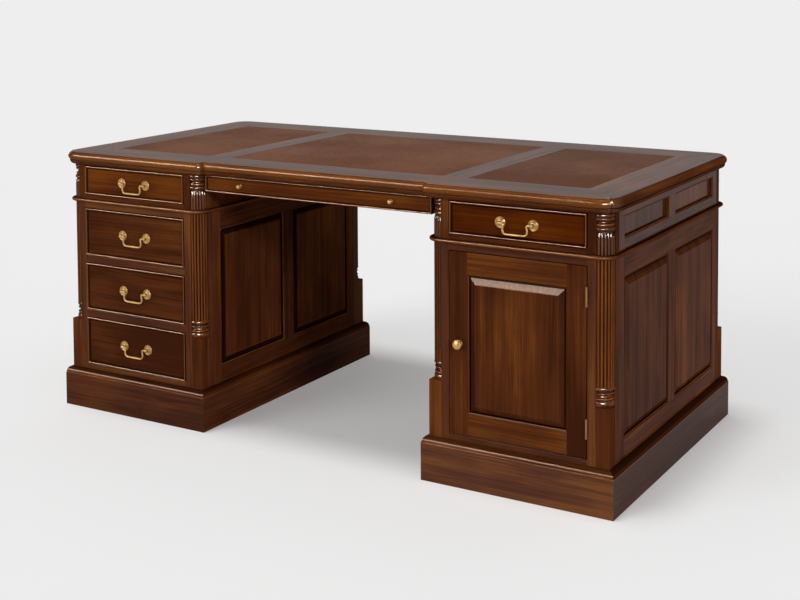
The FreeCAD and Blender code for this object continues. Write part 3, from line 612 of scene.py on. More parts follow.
def bow(centre, radii, start, end, steps):
    """Points along part of an ellipse, from one angle in degrees to another."""
    angles = [math.radians(start + (end - start) * n / steps) for n in range(steps + 1)]
    return [(centre[0] + radii[0] * math.cos(a), centre[1] + radii[1] * math.sin(a)) for a in angles]


def arc(centre, radius, start, end, steps):
    """Points along part of a circle in plan, with their direction inwards; the angles are in degrees."""
    points = []
    for n in range(steps + 1):
        turn = math.radians(start + (end - start) * n / steps)
        way = Vector((math.cos(turn), math.sin(turn)))
        points.append((Vector(centre) + radius * way, -way))
    return points


def long_edge_light(way):
    """Painted highlight of an edge in plan from its direction inwards, more along X than along Y."""
    return LONG_EDGE_LIGHT[0] + LONG_EDGE_LIGHT[1] * abs(way.y)


def add_wear_and_shading(profile, convex):
    """Adds points near the ends of long runs, and to each point its mark: edges towards 1, lightened as
    rubbing and painted highlight, hollows towards -1, darkened as patina and painted shade. convex is the
    turn of an edge: 1 to the left, -1 to the right."""
    path = [Vector(profile[0])]
    for spot in map(Vector, profile[1:]):
        run = spot - path[-1]
        if run.length > 3 * WEAR_AND_SHADING_FADE:
            near = run.normalized() * WEAR_AND_SHADING_FADE
            path += [path[-1] + near, spot - near]
        if run.length > 0:
            path.append(spot)
    runs = [b - a for a, b in zip(path, path[1:])]
    turns = [math.atan2(a.x * b.y - a.y * b.x, a.dot(b)) for a, b in zip(runs, runs[1:])]
    turns = [0.0] + turns + [0.0]
    places = [0.0]
    for run in runs:
        places.append(places[-1] + run.length)
    found = []
    for spot, place in zip(path, places):
        total = sum(turn for turn, other in zip(turns, places) if abs(place - other) < WEAR_AND_SHADING_REACH)
        found.append((spot.x, spot.y, clamp(convex * total / WEAR_AND_SHADING_TURN, -1.0, 1.0)))
    return found


def opposite(name):
    """Name of the same thing on the other pedestal or the other side of the desk."""
    for near, far in (("front_", "back_"), ("left_", "right_")):
        if name.startswith(near):
            return far + name[len(near):]
    return name


class Joinery:
    """Gathers boards into one mesh. Each face knows its grain, its board's place in the log and its mark of
    lighter edges and darker hollows, partly painted highlight and painted shade.
    """

    def __init__(self, seed, place=None, shade=0.0, warm=0.0, polish=0.0):
        self.mesh = bmesh.new()
        self.grain = self.mesh.loops.layers.float_vector.new("grain")
        self.tone = self.mesh.loops.layers.float.new("tone")
        self.gloss = self.mesh.loops.layers.float.new("polish")
        self.wear = self.mesh.loops.layers.float.new("wear")
        self.red = self.mesh.loops.layers.float.new("warm")
        self.pick = random.Random(seed)
        self.place = place or Matrix()
        self.polish = self.base = polish
        self.shade, self.warm = shade, warm
        self.spots = {}
        self.board()

    def board(self):
        """The faces from here on belong to another board."""
        self.shift = Vector([self.pick.uniform(-LOG, LOG) for _ in range(3)])
        self.tint = self.shade + self.pick.uniform(-1, 1)

    def turn_to(self, place, shine, shade):
        """The boards from here on stand at another place, with another shine and lightness."""
        self.place = place
        self.polish = self.base = shine
        self.shade = shade

    def point(self, x, y, z, wear=0.0):
        spot = Vector((x, y, z))
        vert = self.mesh.verts.new(self.place @ spot)
        self.spots[vert] = spot, wear
        return vert

    def face(self, verts, along, plain=False):
        """One face; along is the local axis that its grain follows; a plain one gets neither lighter edges
        nor darker hollows.
        """
        corners = list(dict.fromkeys(verts))
        if len(corners) < 3:
            return
        face = self.mesh.faces.new(corners)
        face.smooth = True
        for loop in face.loops:
            spot, wear = self.spots[loop.vert]
            loop[self.grain] = Vector([spot[(along + n) % 3] for n in range(3)]) + self.shift
            loop[self.tone] = self.tint
            loop[self.gloss] = self.polish
            loop[self.red] = self.warm
            loop[self.wear] = 0.0 if plain else wear

    def slab(self, xs, ys, zs, along, rim_shade=0.0):
        """A plain board between two values on each axis; the last value darkens the faces round its local Z
        axis as painted shadow.
        """
        self.board()
        low, high = [[self.point(x, y, z, rim_shade) for x, y in rectangle(xs, ys)] for z in zs]
        self.face(low, along, plain=True)
        self.face(high, along, plain=True)
        for n in range(4):
            m = (n + 1) % 4
            self.face([low[n], low[m], high[m], high[n]], along)

    def bridge(self, first, second, along_of, closed=True, plain=False):
        """Faces between two rows of points; along_of gives each face's grain axis from its number."""
        for n in range(len(first) if closed else len(first) - 1):
            m = (n + 1) % len(first)
            self.face([first[n], first[m], second[m], second[n]], along_of(n), plain)

    def mitred(self, xs, ys, profile, along=None, field=None, shine=None, bare=None, shades=None):
        """Rectangles drawn in step by step: (inset, height) or with the mark of lighter edges and darker
        hollows, partly painted highlight and painted shade. With a field axis both ends are closed; without
        one the last step joins the first, which makes a ring. Without along it is mitred. shine gives the
        polish from the side (0 low, 1 right, 2 high, 3 left), the inset and the height. A bare side has no
        such mark; shades are the lightness of the four sides."""
        rows = []
        if len(profile[0]) == 2:
            profile = add_wear_and_shading(profile, -1)
        for inset, z, wear in profile:
            rows.append([self.point(x, y, z, wear) for x, y in rectangle(xs, ys, inset)])
        ahead = profile[1:] + profile[:1]
        middles = [((a[0] + b[0]) / 2, (a[1] + b[1]) / 2) for a, b in zip(profile, ahead)]
        pairs = list(zip(rows, rows[1:]))
        if field is None:
            pairs.append((rows[-1], rows[0]))
        self.board()
        for side in range(4):
            if shades:
                self.shade = shades[side]
            if along is None:
                self.board()
            grain = side % 2 if along is None else along
            m = (side + 1) % 4
            for (first, second), middle in zip(pairs, middles):
                self.polish = shine(side, *middle) if shine else self.base
                self.face([first[side], first[m], second[m], second[side]], grain, side == bare)
        self.polish = self.base
        if field is not None:
            if along is None:
                self.board()
            self.face(rows[0], field, plain=True)
            self.face(rows[-1], field, plain=True)

    def turned(self, profile, sides, centre=(0, 0, 0), start=0.0, sweep=2 * math.pi, shine=None):
        """A turned piece about the local Z axis, or a sector of one: (radius, height, mark of lighter edges
        and darker hollows, partly painted highlight and painted shade), single or as lists. shine gives the
        polish from the height."""
        whole = sweep > math.pi
        rows = []
        for radius, z, wear in profile:
            row = []
            for n in range(sides if whole else sides + 1):
                r = radius[n] if isinstance(radius, list) else radius
                use = wear[n] if isinstance(wear, list) else wear
                turn = start + sweep * n / sides
                x, y = centre[0] + r * math.cos(turn), centre[1] + r * math.sin(turn)
                row.append(self.point(x, y, centre[2] + z, use))
            if not whole:
                row.append(self.point(centre[0], centre[1], centre[2] + z))
            rows.append(row)
        for k, (first, second) in enumerate(zip(rows, rows[1:])):
            self.polish = shine((profile[k][1] + profile[k + 1][1]) / 2) if shine else self.base
            self.bridge(first, second, lambda n: 2)
        self.polish = self.base
        self.face(rows[0], 2)
        self.face(rows[-1], 2)

    def tube(self, path, radii, sides):
        """A round bar along points in the local XY plane."""
        rows = []
        for n, spot in enumerate(path):
            before, after = path[max(n - 1, 0)], path[min(n + 1, len(path) - 1)]
            run = (after - before).normalized()
            cross = Vector((-run.y, run.x, 0))
            row = []
            for k in range(sides):
                turn = 2 * math.pi * k / sides
                way = math.cos(turn) * cross + math.sin(turn) * Vector((0, 0, 1))
                row.append(self.point(*(spot + radii[n] * way)))
            rows.append(row)
        for first, second in zip(rows, rows[1:]):
            self.bridge(first, second, lambda k: 0)
        self.face(rows[0], 0)
        self.face(rows[-1], 0)

    def finish(self, name, nodes, material="polished_mahogany", body="carcass", twin=True, soft=True):
        """Makes the object, rides it on its body in place of CAD nodes, and its twin turned half round. A
        node without an opposite one is left to the first of the two."""
        bmesh.ops.recalc_face_normals(self.mesh, faces=self.mesh.faces[:])
        if not soft:
            for edge in self.mesh.edges:
                if len(edge.link_faces) == 2 and edge.calc_face_angle() > SHARP_TURN:
                    edge.smooth = False
        data = bpy.data.meshes.new(name)
        self.mesh.to_mesh(data)
        self.mesh.free()
        data.materials.append(bpy.data.materials[material])
        piece = bpy.data.objects.new(name, data)
        bpy.context.scene.collection.objects.link(piece)
        if soft:
            edges = piece.modifiers.new("Soft edges", "BEVEL")
            edges.width = bpy.context.scene.desk_sizes.soft_edge
            edges.segments = 2
            edges.limit_method = "ANGLE"
            edges.angle_limit = ROUNDED_TURN
            edges.use_clamp_overlap = False
            piece.modifiers.new("Flat faces", "WEIGHTED_NORMAL")
        places = [(piece, body, nodes)]
        if twin:
            other = piece.copy()
            other.data = data.copy()
            other.name = other.data.name = opposite(name)
            other.matrix_world = HALF_TURN
            bpy.context.scene.collection.objects.link(other)
            hidden = [opposite(node) for node in nodes if opposite(node) != node]
            places.append((other, opposite(body), hidden))
        for obj, carrier, hidden in places:
            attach(obj, carrier)
            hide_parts(*hidden)


def framed(work, sizes, width, levels, stile, rails, muntin, thick, bare=None, shades=(0, 0, 0, 0)):
    """Stiles, low and high rail and sticking round panel openings; gives back the openings. bare is the side
    of the sticking without lighter edges and darker hollows; shades is added to the lightness of both stiles
    and of both rails."""
    low, high = levels
    half, edge = width / 2, sizes.sticking
    inner = half - stile
    spans = [(-inner, inner)]
    depth = (-thick, 0)
    out = inner + edge
    y = (low + rails[0], high - rails[1])
    common = work.shade
    places = [((s * out, s * half), (low, high), 1) for s in (-1, 1)]
    places += [((-out, out), (low, y[0] - edge), 0), ((-out, out), (y[1] + edge, high), 0)]
    # Painted shadow: every edge face of the stiles and rails is darkened as the shade in the gaps round them
    for (xs, ys, along), shade in zip(places, shades):
        work.shade = common + shade
        work.slab(sorted(xs), ys, depth, along, -1.0)
    work.shade = common
    if muntin:
        spans = [(-inner, -muntin / 2), (muntin / 2, inner)]
        work.slab((edge - muntin / 2, muntin / 2 - edge), (y[0] - edge, y[1] + edge), depth, 1)
    quirk = sizes.sticking_quirk
    quarter = bow((quirk - edge, -edge), (edge - quirk, edge - quirk), 90, 0, 6)
    ring = add_wear_and_shading([(-edge, 0), (quirk - edge, 0)] + quarter + [(0, -thick), (-edge, -thick)], -1)
    # Painted shade: the sticking's wall down into the opening is darkened
    ring = [(inset, z, wear if inset < 0 else -1.0) for inset, z, wear in ring]
    for x in spans:
        work.mitred(x, y, ring, shine=lambda side, inset, z: STICKING_SHINE, bare=bare)
    return [(x, y) for x in spans]


def panel_proud(sizes):
    """How far the field of a raised panel stands out before its frame."""
    return sizes.bevel_rise + sizes.field_rise - sizes.panel_edge


def panels(work, sizes, openings, raised, shine=None, stain_and_shade=BEVEL_SHADE):
    """Panels in their grooves, with a bevelled and fielded face or a flat one. shine is that of the four
    bevels; the last argument is how dark they are painted towards the edge, as painted shade."""
    grow = sizes.sticking / 2
    back = -sizes.panel_depth - sizes.panel_thickness
    start = sizes.panel_reveal
    end = start + sizes.bevel_width
    edge, step = -sizes.panel_edge, sizes.field_rise
    rise = edge + sizes.bevel_rise
    arris = step / 2
    profile = [(-grow, back), (-grow, -sizes.panel_depth)]
    if raised:
        profile += [(start, -sizes.panel_depth)]
        for share in (0, 0.5, 1):
            profile.append((start + share * sizes.bevel_width, edge + share * sizes.bevel_rise))
        profile += [(end, rise + arris)]
        profile += bow((end + arris, rise + arris), (arris, arris), 180, 90, 4)[1:]
    # Painted shade: the bevels darken towards their outer edge, and the margin and groove outside them are
    # painted dark as a shadow line
    shaded_profile = []
    for inset, z, wear in add_wear_and_shading(profile, -1):
        if start < inset < end:
            wear = max(stain_and_shade * (inset - end) / sizes.bevel_width, -1.0)
        shaded_profile.append((inset, z, wear if inset > start else -1.0))

    def polish(side, inset, z):
        return shine[side] if shine and start < inset < end else work.base

    for x, y in openings:
        work.mitred(x, y, shaded_profile, along=1, field=1, shine=polish)


def tower_box():
    """Low and high corner of the left tower, from its columns."""
    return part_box("left_columns")


def tower_corners():
    """Corners of the left tower with the direction inwards along X and along Y."""
    low, high = tower_box()
    ends = [((low[axis], 1), (high[axis], -1)) for axis in (0, 1)]
    return [(x, y, dx, dy) for x, dx in ends[0] for y, dy in ends[1]]


def corner_posts(work, sizes, low, high):
    """Stiles each side of the columns."""
    square, post = sizes.column_square, sizes.column_square + sizes.stile
    for x, y, dx, dy in tower_corners():
        for xs, ys in (((square, post), (0, post)), ((0, square), (square, post))):
            work.slab(sorted(x + dx * a for a in xs), sorted(y + dy * a for a in ys), (low, high), 2)


def reed_radii(reeds, top=0.0):
    """Radii and painted light along a reeded quarter, dark in the valleys and light on the crowns; a share of
    the nose draws them in towards its rounded end.
    """
    radii = []
    for n in range(reeds.count * reeds.facets + 1):
        place = 2 * (n % reeds.facets) / reeds.facets - 1
        swell = max(1 - place * place - top * top, 0)
        radii.append(reeds.valley + (reeds.reed - reeds.valley) * math.sqrt(swell))
    # Painted highlight on the crowns and painted shade in the valleys
    gain, late = REED_SHADING
    return radii, [gain * ((r - reeds.valley) / (reeds.reed - reeds.valley)) ** late - 1 for r in radii]


def turned_steps(ring, low, foot, steps):
    """Outline of turned steps from below, and its height; a curved step passes through its middle inset."""
    profile = [(ring - foot, low)]
    z, before = low, foot
    for height, *insets in steps:
        end = insets[-1]
        if len(insets) == 2:
            bulge = insets[0] - (before + end) / 2
            for n in range(STEP_POINTS):
                share = n / (STEP_POINTS - 1)
                level = (1 - math.cos(math.pi * share)) / 2
                inset = before + (end - before) * level + bulge * math.sin(math.pi * share)
                profile.append((ring - inset, z + height * level))
        else:
            profile += [(ring - end, z), (ring - end, z + height)]
        z, before = z + height, end
    return profile, z


# Pieces

class DESK_OT_materials(bpy.types.Operator):
    """Make the wood, leather and brass"""
    bl_idname = "desk.materials"
    bl_label = "Materials"

    def execute(self, context):
        make_materials(context.scene.desk_colours)
        return {"FINISHED"}


class DESK_OT_top(bpy.types.Operator):
    """Mitred border with its moulded edge, cross bands and leathers"""
    bl_idname = "desk.top"
    bl_label = "Top"

    def outline(self, sizes, high):
        """Points of the edge with their direction inwards, board by board, split in the middle of corners."""
        x, y, r = high.x, high.y, sizes.top_corner
        lip, half = sizes.break_depth, sizes.break_half
        near = -y + lip
        corners = list(zip(rectangle((-x, x), (-y, y), r), CORNER_STARTS))
        boards = []
        for n, ((centre, start), (ahead, next_start)) in enumerate(zip(corners, corners[1:] + corners[:1])):
            points = arc(centre, r, start + 45, start + 90, CORNER_STEPS)
            if n == 0:
                points += arc((-half - lip, near), lip, 270, 360, CORNER_STEPS)
                points += [(Vector((s * half, near)), Vector((s, 1))) for s in (-1, 1)]
                points += arc((half + lip, near), lip, 180, 270, CORNER_STEPS)
            points += arc(ahead, r, next_start, next_start + 45, CORNER_STEPS)
            boards.append((points, n % 2))
        return boards

    def section(self, sizes, low, high):
        """Edge of the moulding and of the boards on it, from below: (inset, height, mark of lighter edges and
        darker hollows).
        """
        nose, ovolo, soft = sizes.nosing_round, sizes.ovolo_round, sizes.top_arris
        nosing_low = low + sizes.ovolo_height
        half = sizes.nosing_height / 2
        middle, crease = nosing_low + half, nose - sizes.nosing_crease
        edge = bow((sizes.ovolo_inset + ovolo, low + ovolo), (ovolo, ovolo), 270, 180, 12)
        edge += [(sizes.ovolo_inset, nosing_low), (crease, nosing_low)]
        nosing = bow((nose, middle), (nose, half), 270, 90, 30)
        edge += [(inset, z) for inset, z in nosing if inset < crease or z > middle]
        moulding = []
        # Painted highlight along the front of the nosing
        for inset, z, wear in add_wear_and_shading(edge, -1):
            rubbed_and_lit = z > nosing_low and inset < NOSING_HIGHLIT * nose
            moulding.append((inset, z, NOSING_HIGHLIGHT if rubbed_and_lit else wear))
        step = sizes.top_step_inset
        boards = [(step, nosing_low + 2 * half), (step, high - soft)]
        boards += bow((step + soft, high - soft), (soft, soft), 180, 90, 5)[1:]
        return moulding, add_wear_and_shading(boards, -1)

    def border(self, name, material, section, levels, shine):
        """Four mitred boards round the leathers with one edge. shine is that along X, along Y and added in
        the corners; without it the boards keep that of the top."""
        sizes = bpy.context.scene.desk_sizes
        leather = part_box("leather_panels")
        work = Joinery(11, shade=TOP_SHADE, polish=TOP_SHINE)
        for points, along in self.outline(sizes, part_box("top_border")[1]):
            work.board()
            rows = []
            for inset, z, wear in section:
                row = []
                for p, way in points:
                    # Edges along X keep more painted highlight than edges along Y
                    row.append(work.point(*(p + way * inset), z, min(wear, long_edge_light(way))))
                rows.append(row)
            inner = []
            for p, _ in points:
                inner.append([clamp(p[axis], leather[0][axis], leather[1][axis]) for axis in (0, 1)])
            under, over = [[work.point(x, y, z) for x, y in inner] for z in levels]
            rows = [under] + rows + [over]

            def grain(n):
                if shine:
                    spot, way = points[n]
                    share = min(abs(way.y), 1) ** 2
                    middle, loss, least = NOSING_FADE
                    left = clamp(middle - loss * spot.x * math.copysign(1, way.y), least, 1)
                    corner = 4 * share * (1 - share) * shine[2]
                    work.polish = shine[1] + (shine[0] * left - shine[1]) * share + corner
                return along

            for first, second in zip(rows, rows[1:] + rows[:1]):
                flat = over in (first, second) or under in (first, second)
                work.bridge(first, second, grain, closed=False, plain=flat)
            for end in (0, -1):
                work.face([row[end] for row in rows], along)
        bmesh.ops.remove_doubles(work.mesh, verts=work.mesh.verts[:], dist=SAME_POINT)
        work.finish(name, ["top_border"], material, twin=False)

    def execute(self, context):
        sizes = context.scene.desk_sizes
        low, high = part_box("top_border")
        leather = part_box("leather_panels")
        step = low.z + sizes.ovolo_height + sizes.nosing_height
        moulding, boards = self.section(sizes, low.z, high.z)
        self.border("top_moulding", "polished_mahogany", moulding, (low.z, step), (*EDGE_SHINE, CORNER_SHINE))
        self.border("top_border_boards", "top_mahogany", boards, (step, high.z), None)

        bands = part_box("top_cross_bands")
        work = Joinery(12, polish=TOP_SHINE)
        band_in = bands[1].x - sizes.cross_band
        ys, zs = [(bands[0][axis], bands[1][axis]) for axis in (1, 2)]
        for s in (-1, 1):
            work.slab(sorted((s * band_in, s * bands[1].x)), ys, zs, 1)
        work.finish("top_cross_boards", ["top_cross_bands"], "top_mahogany", twin=False)

        work = Joinery(13)
        spans = [(leather[0].x, bands[0].x), (-band_in, band_in), (bands[1].x, leather[1].x)]
        lip = sizes.leather_edge
        edge = [(0, leather[0].z), (0, leather[1].z - lip)]
        edge += bow((lip, leather[1].z - lip), (lip, lip * LEATHER_ROUND), 180, 90, 4)[1:]
        for xs, shade in zip(spans, LEATHERS):
            work.shade = shade
            work.mitred(xs, (leather[0].y, leather[1].y), edge, along=0, field=0)
        work.finish("top_leathers", ["leather_panels"], "desk_leather", twin=False, soft=False)
        return {"FINISHED"}


class DESK_OT_columns(bpy.types.Operator):
    """Reeded columns with turned bases and capitals"""
    bl_idname = "desk.columns"
    bl_label = "Columns"

    def pedestal(self, work, reeds, levels, corner, axis, start):
        low, high = levels
        block_top = low + reeds.block
        work.warm = 0.0
        work.slab(sorted((corner[0], axis[0])), sorted((corner[1], axis[1])), (low, block_top), 2)
        work.warm = COLUMN_WARM
        work.board()
        profile, z = turned_steps(reeds.ring, block_top, BASE_FOOT, BASE_STEPS)
        shaft = reed_radii(reeds)
        profile = add_wear_and_shading(profile + [(reeds.valley, z)], 1)
        profile += [(shaft[0], level, shaft[1]) for level in (z, (z + high) / 2, high)]
        work.turned(profile, reeds.count * reeds.facets, (*axis, 0), start, QUARTER,
                    lambda level: RING_SHINE if level < z else COLUMN_SHINE)

    def frieze(self, work, reeds, levels, axis, start):
        low, high = levels
        work.board()
        shaft = reed_radii(reeds)
        top = low + reeds.short_shaft
        profile = [(shaft[0], low, shaft[1]), (shaft[0], top - reeds.nose, shaft[1])]
        for n in range(1, NOSE_STEPS + 1):
            share = math.sin(QUARTER * n / NOSE_STEPS)
            radii, wear = reed_radii(reeds, share)
            profile.append((radii, top - reeds.nose * (1 - share), wear))
        turned, _ = turned_steps(reeds.ring, top, CAPITAL_FOOT, CAPITAL_STEPS)
        profile += add_wear_and_shading(turned + [(turned[-1][0], high)], 1)
        work.turned(profile, reeds.count * reeds.facets, (*axis, 0), start, QUARTER, lambda level: RING_SHINE)

    def execute(self, context):
        sizes, reeds = context.scene.desk_sizes, context.scene.desk_reeds
        square = sizes.column_square
        low, high = tower_box()
        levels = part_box("frieze_columns")
        shafts, capitals = Joinery(21, shade=COLUMN_SHADE), Joinery(22, warm=COLUMN_WARM)
        for x, y, dx, dy in tower_corners():
            axis = (x + dx * square, y + dy * square)
            start = math.atan2(-dy, -dx) - QUARTER / 2
            self.pedestal(shafts, reeds, (low.z, high.z), (x, y), axis, start)
            self.frieze(capitals, reeds, (levels[0].z, levels[1].z), axis, start)
        shafts.finish("left_reeded_columns", ["left_columns"], soft=False)
        capitals.finish("left_capitals", ["frieze_columns"], soft=False)
        return {"FINISHED"}


class DESK_OT_pedestals(bpy.types.Operator):
    """Frames, raised side panels, plinths and waist beads"""
    bl_idname = "desk.pedestals"
    bl_label = "Pedestals"

    def frames(self, sizes):
        low, high = tower_box()
        gap, thick = sizes.opening_gap, sizes.frame_thickness
        post = sizes.column_square + sizes.stile
        xs = (low.x + post, high.x - post)
        front, back = (low.y, low.y + thick), (high.y - thick, high.y)
        work = Joinery(31, polish=SIDE_SHINE / 2)
        corner_posts(work, sizes, low.z, high.z)
        levels = [low.z]
        for name in ("lower", "middle", "upper"):
            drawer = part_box("front_%s_drawer" % name)
            levels += [drawer[0].z - sizes.drawer_clearance, drawer[1].z + gap]
        levels.append(high.z)
        for zs in zip(levels[::2], levels[1::2]):
            work.slab(xs, front, zs, 0)
        for zs in (levels[:2], levels[-2:]):
            work.slab(xs, back, zs, 0)
        openings = []
        width = high.y - low.y - 2 * post
        rails, zs = (sizes.low_rail, sizes.high_rail), (low.z, high.z)
        for turn, x, look in ((-QUARTER, low.x, OUTER_SIDE), (QUARTER, high.x, KNEEHOLE_SIDE)):
            shine, shade, bare, *bevels = look
            place = facing(turn, x, 0, 0)
            work.turn_to(place, shine, shade)
            found = framed(work, sizes, width, zs, sizes.side_stile, rails, sizes.muntin, thick, bare)
            openings.append((place, shine, shade, found, bevels))
        work.finish("left_frame_boards", ["left_frame"])
        work = Joinery(32)
        for place, shine, shade, found, bevels in openings:
            work.turn_to(place, shine, shade)
            panels(work, sizes, found, True, *bevels)
        work.finish("left_raised_panels", ["left_side_panels"])

    def plinth(self, sizes):
        low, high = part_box("left_plinth")
        quirk = sizes.plinth_quirk
        face, out = sizes.plinth_face, sizes.plinth_projection
        mould = high.z - face - quirk
        work = Joinery(33)
        profile = [(0, low.z), (0, face), (quirk, face), (quirk, face + quirk)]
        profile += bow((out, face + quirk), (out - quirk, mould), 180, 90, 10)[1:]
        profile += [(sizes.plinth_board, high.z), (sizes.plinth_board, low.z)]
        # Painted shade on the upper part of the plinth moulding
        level = face + quirk + PLINTH_UNSHADED * mould
        profile = [(inset, z, wear if z < level else PLINTH_SHADE) for inset, z, wear in add_wear_and_shading(profile, -1)]

        def shine(side, inset, z):
            if z < face:
                return PLINTH_FACES[side]
            return PLINTH_SHINE[side % 2] if z < level else 0.0

        work.mitred((low.x, high.x), (low.y, high.y), profile, shine=shine, shades=PLINTH_SHADES)
        work.finish("left_plinth_boards", ["left_plinth"])

    def waist(self, sizes):
        low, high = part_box("waist_boards")
        tower = tower_box()
        out = sizes.waist_projection
        x, y = (tower[0].x - out, tower[1].x + out), (tower[0].y - out, tower[1].y + out)
        r = sizes.column_square + out
        work = Joinery(34)
        points = []
        for centre, start in zip(rectangle(x, y, r), CORNER_STARTS):
            points += arc(centre, r, start, start + 90, WAIST_STEPS)
        half = (high.z - low.z) / 2
        section = bow((half, low.z + half), (half, half), 270, 90, 12)
        work.board()
        rows = []
        # Painted highlight on the front of the waist bead and painted shade above and below it, lighter along
        # X than along Y
        for inset, z in section:
            loss = WAIST_SHADE * inset / half
            rows.append([work.point(*(p + way * inset), z, long_edge_light(way) - loss) for p, way in points])

        def along(n):
            run = points[(n + 1) % len(points)][0] - points[n][0]
            axis = 0 if abs(run.x) > abs(run.y) else 1
            work.polish = EDGE_SHINE[axis]
            return axis

        for first, second in zip(rows, rows[1:]):
            work.bridge(first, second, along)
        work.face(rows[0], 0)
        work.face(rows[-1], 0)
        work.finish("left_waist_bead", ["waist_boards"], soft=False)

    def execute(self, context):
        sizes = context.scene.desk_sizes
        self.frames(sizes)
        self.plinth(sizes)
        self.waist(sizes)
        return {"FINISHED"}


class DESK_OT_frieze(bpy.types.Operator):
    """Frieze frames with sunk end panels"""
    bl_idname = "desk.frieze"
    bl_label = "Frieze"

    def execute(self, context):
        sizes = context.scene.desk_sizes
        low, high = tower_box()
        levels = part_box("frieze_columns")
        gap, thick = sizes.opening_gap, sizes.frame_thickness
        post = sizes.column_square + sizes.stile
        xs = (low.x + post, high.x - post)
        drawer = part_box("front_left_frieze_drawer")
        rails = [(levels[0].z, drawer[0].z - sizes.drawer_clearance), (drawer[1].z + gap, levels[1].z)]
        work = Joinery(41)
        corner_posts(work, sizes, levels[0].z, levels[1].z)
        for ys in ((low.y, low.y + thick), (high.y - thick, high.y)):
            for zs in rails:
                work.slab(xs, ys, zs, 0)
        work.finish("left_frieze_frame", ["frieze_frame"])
        work = Joinery(42, facing(-QUARTER, low.x, 0, 0), shade=FRIEZE_SHADE, polish=FRIEZE_SHINE)
        found = framed(work, sizes, high.y - low.y - 2 * post, (levels[0].z, levels[1].z), sizes.side_stile,
                       (sizes.frieze_low_rail, sizes.frieze_high_rail), sizes.muntin, thick, 1)
        panels(work, sizes, found, False)
        work.finish("left_frieze_end", ["frieze_ends"])
        return {"FINISHED"}


class DESK_OT_drawers(bpy.types.Operator):
    """Drawer fronts with their planted mouldings, and the boxes behind them"""
    bl_idname = "desk.drawers"
    bl_label = "Drawers"

    def drawer(self, sizes, seed, name, shade, warm, shallow=False):
        body = "front_%s_drawer" % name
        low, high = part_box(body)
        face_y = low.y + sizes.bead_proud - sizes.field_depth
        place = facing(0, (low.x + high.x) / 2, face_y, 0)
        half = (high.x - low.x) / 2
        field = -sizes.field_depth
        rear = field - sizes.front_thickness
        shoulder = field + sizes.bead_shoulder
        width, foot = sizes.bead_width, sizes.slope_foot
        if shallow:
            slope, bottom = sizes.centre_slope, low.z
            side_low, rise = low.z + sizes.shallow_lift, sizes.shallow_rise
        else:
            slope, bottom = sizes.slope, low.z + sizes.opening_gap - sizes.drawer_clearance
            side_low, rise = low.z, sizes.bottom_rise

        profile = [(0, rear)]
        profile += bow((width / 2, shoulder), (width / 2, sizes.bead_proud - sizes.bead_shoulder), 180, 0, 10)
        drop = sizes.bead_shoulder - foot
        for n in range(1, HOLLOW_POINTS + 1):
            share = n / HOLLOW_POINTS
            profile.append((width + slope * share, field + drop * (1 - share) ** HOLLOW_POWER + foot))
        profile += [(width + slope, field)]
        # Painted shadow: the slope inside the bead and the bead's outer foot are darkened, fading out onto
        # the field
        shaded_profile = []
        for inset, z, wear in add_wear_and_shading(profile, -1):
            shaded_profile.append((inset, z, wear if BEAD_SHADOW_FOOT * width < inset <= width else DRAWER_SHADOW))
        shaded_profile += [(width + slope + WEAR_AND_SHADING_REACH, field, 0.0)]
        work = Joinery(seed, place, shade, warm)
        work.mitred((-half, half), (bottom, high.z), shaded_profile, field=0,
                    shine=lambda side, inset, z: BEAD_SHINE if z > shoulder else 0.0)
        work.finish("front_%s_face" % name, [body], body=body)

        side_high = high.z - sizes.side_drop
        back = face_y - high.y
        inner = half - sizes.lining
        groove = inner + sizes.drawer_groove
        floor = (side_low + rise, side_low + rise + sizes.drawer_bottom)
        work = Joinery(seed + 100, place)
        depth = (back, field - sizes.drawer_lap)
        for s in (-1, 1):
            work.slab(sorted((s * inner, s * half)), (side_low, side_high), depth, 2)
        work.slab((-inner, inner), (floor[1], side_high), (back, back + sizes.lining), 0)
        work.slab((-groove, groove), floor, (back, rear + sizes.drawer_groove), 0)
        work.finish("front_%s_box" % name, [], "drawer_lining", body)

    def execute(self, context):
        sizes = context.scene.desk_sizes
        for n, board in enumerate(BOARDS):
            self.drawer(sizes, 50 + n, *board)
        self.drawer(sizes, 56, *SHALLOW_BOARD, shallow=True)
        return {"FINISHED"}


class DESK_OT_doors(bpy.types.Operator):
    """Cupboard doors with a raised panel"""
    bl_idname = "desk.doors"
    bl_label = "Doors"

    def execute(self, context):
        sizes = context.scene.desk_sizes
        low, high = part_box("front_door")
        proud = panel_proud(sizes)
        work = Joinery(61, facing(0, (low.x + high.x) / 2, low.y + proud, 0))
        found = framed(work, sizes, high.x - low.x, (low.z, high.z), sizes.door_stile,
                       (sizes.door_rail, sizes.door_rail), 0, high.y - low.y - proud, shades=DOOR_SHADES)
        work.shade = DOOR_PANEL
        panels(work, sizes, found, True, BEVEL_SHINE)
        work.finish("front_door_boards", ["front_door"], body="front_door")
        return {"FINISHED"}


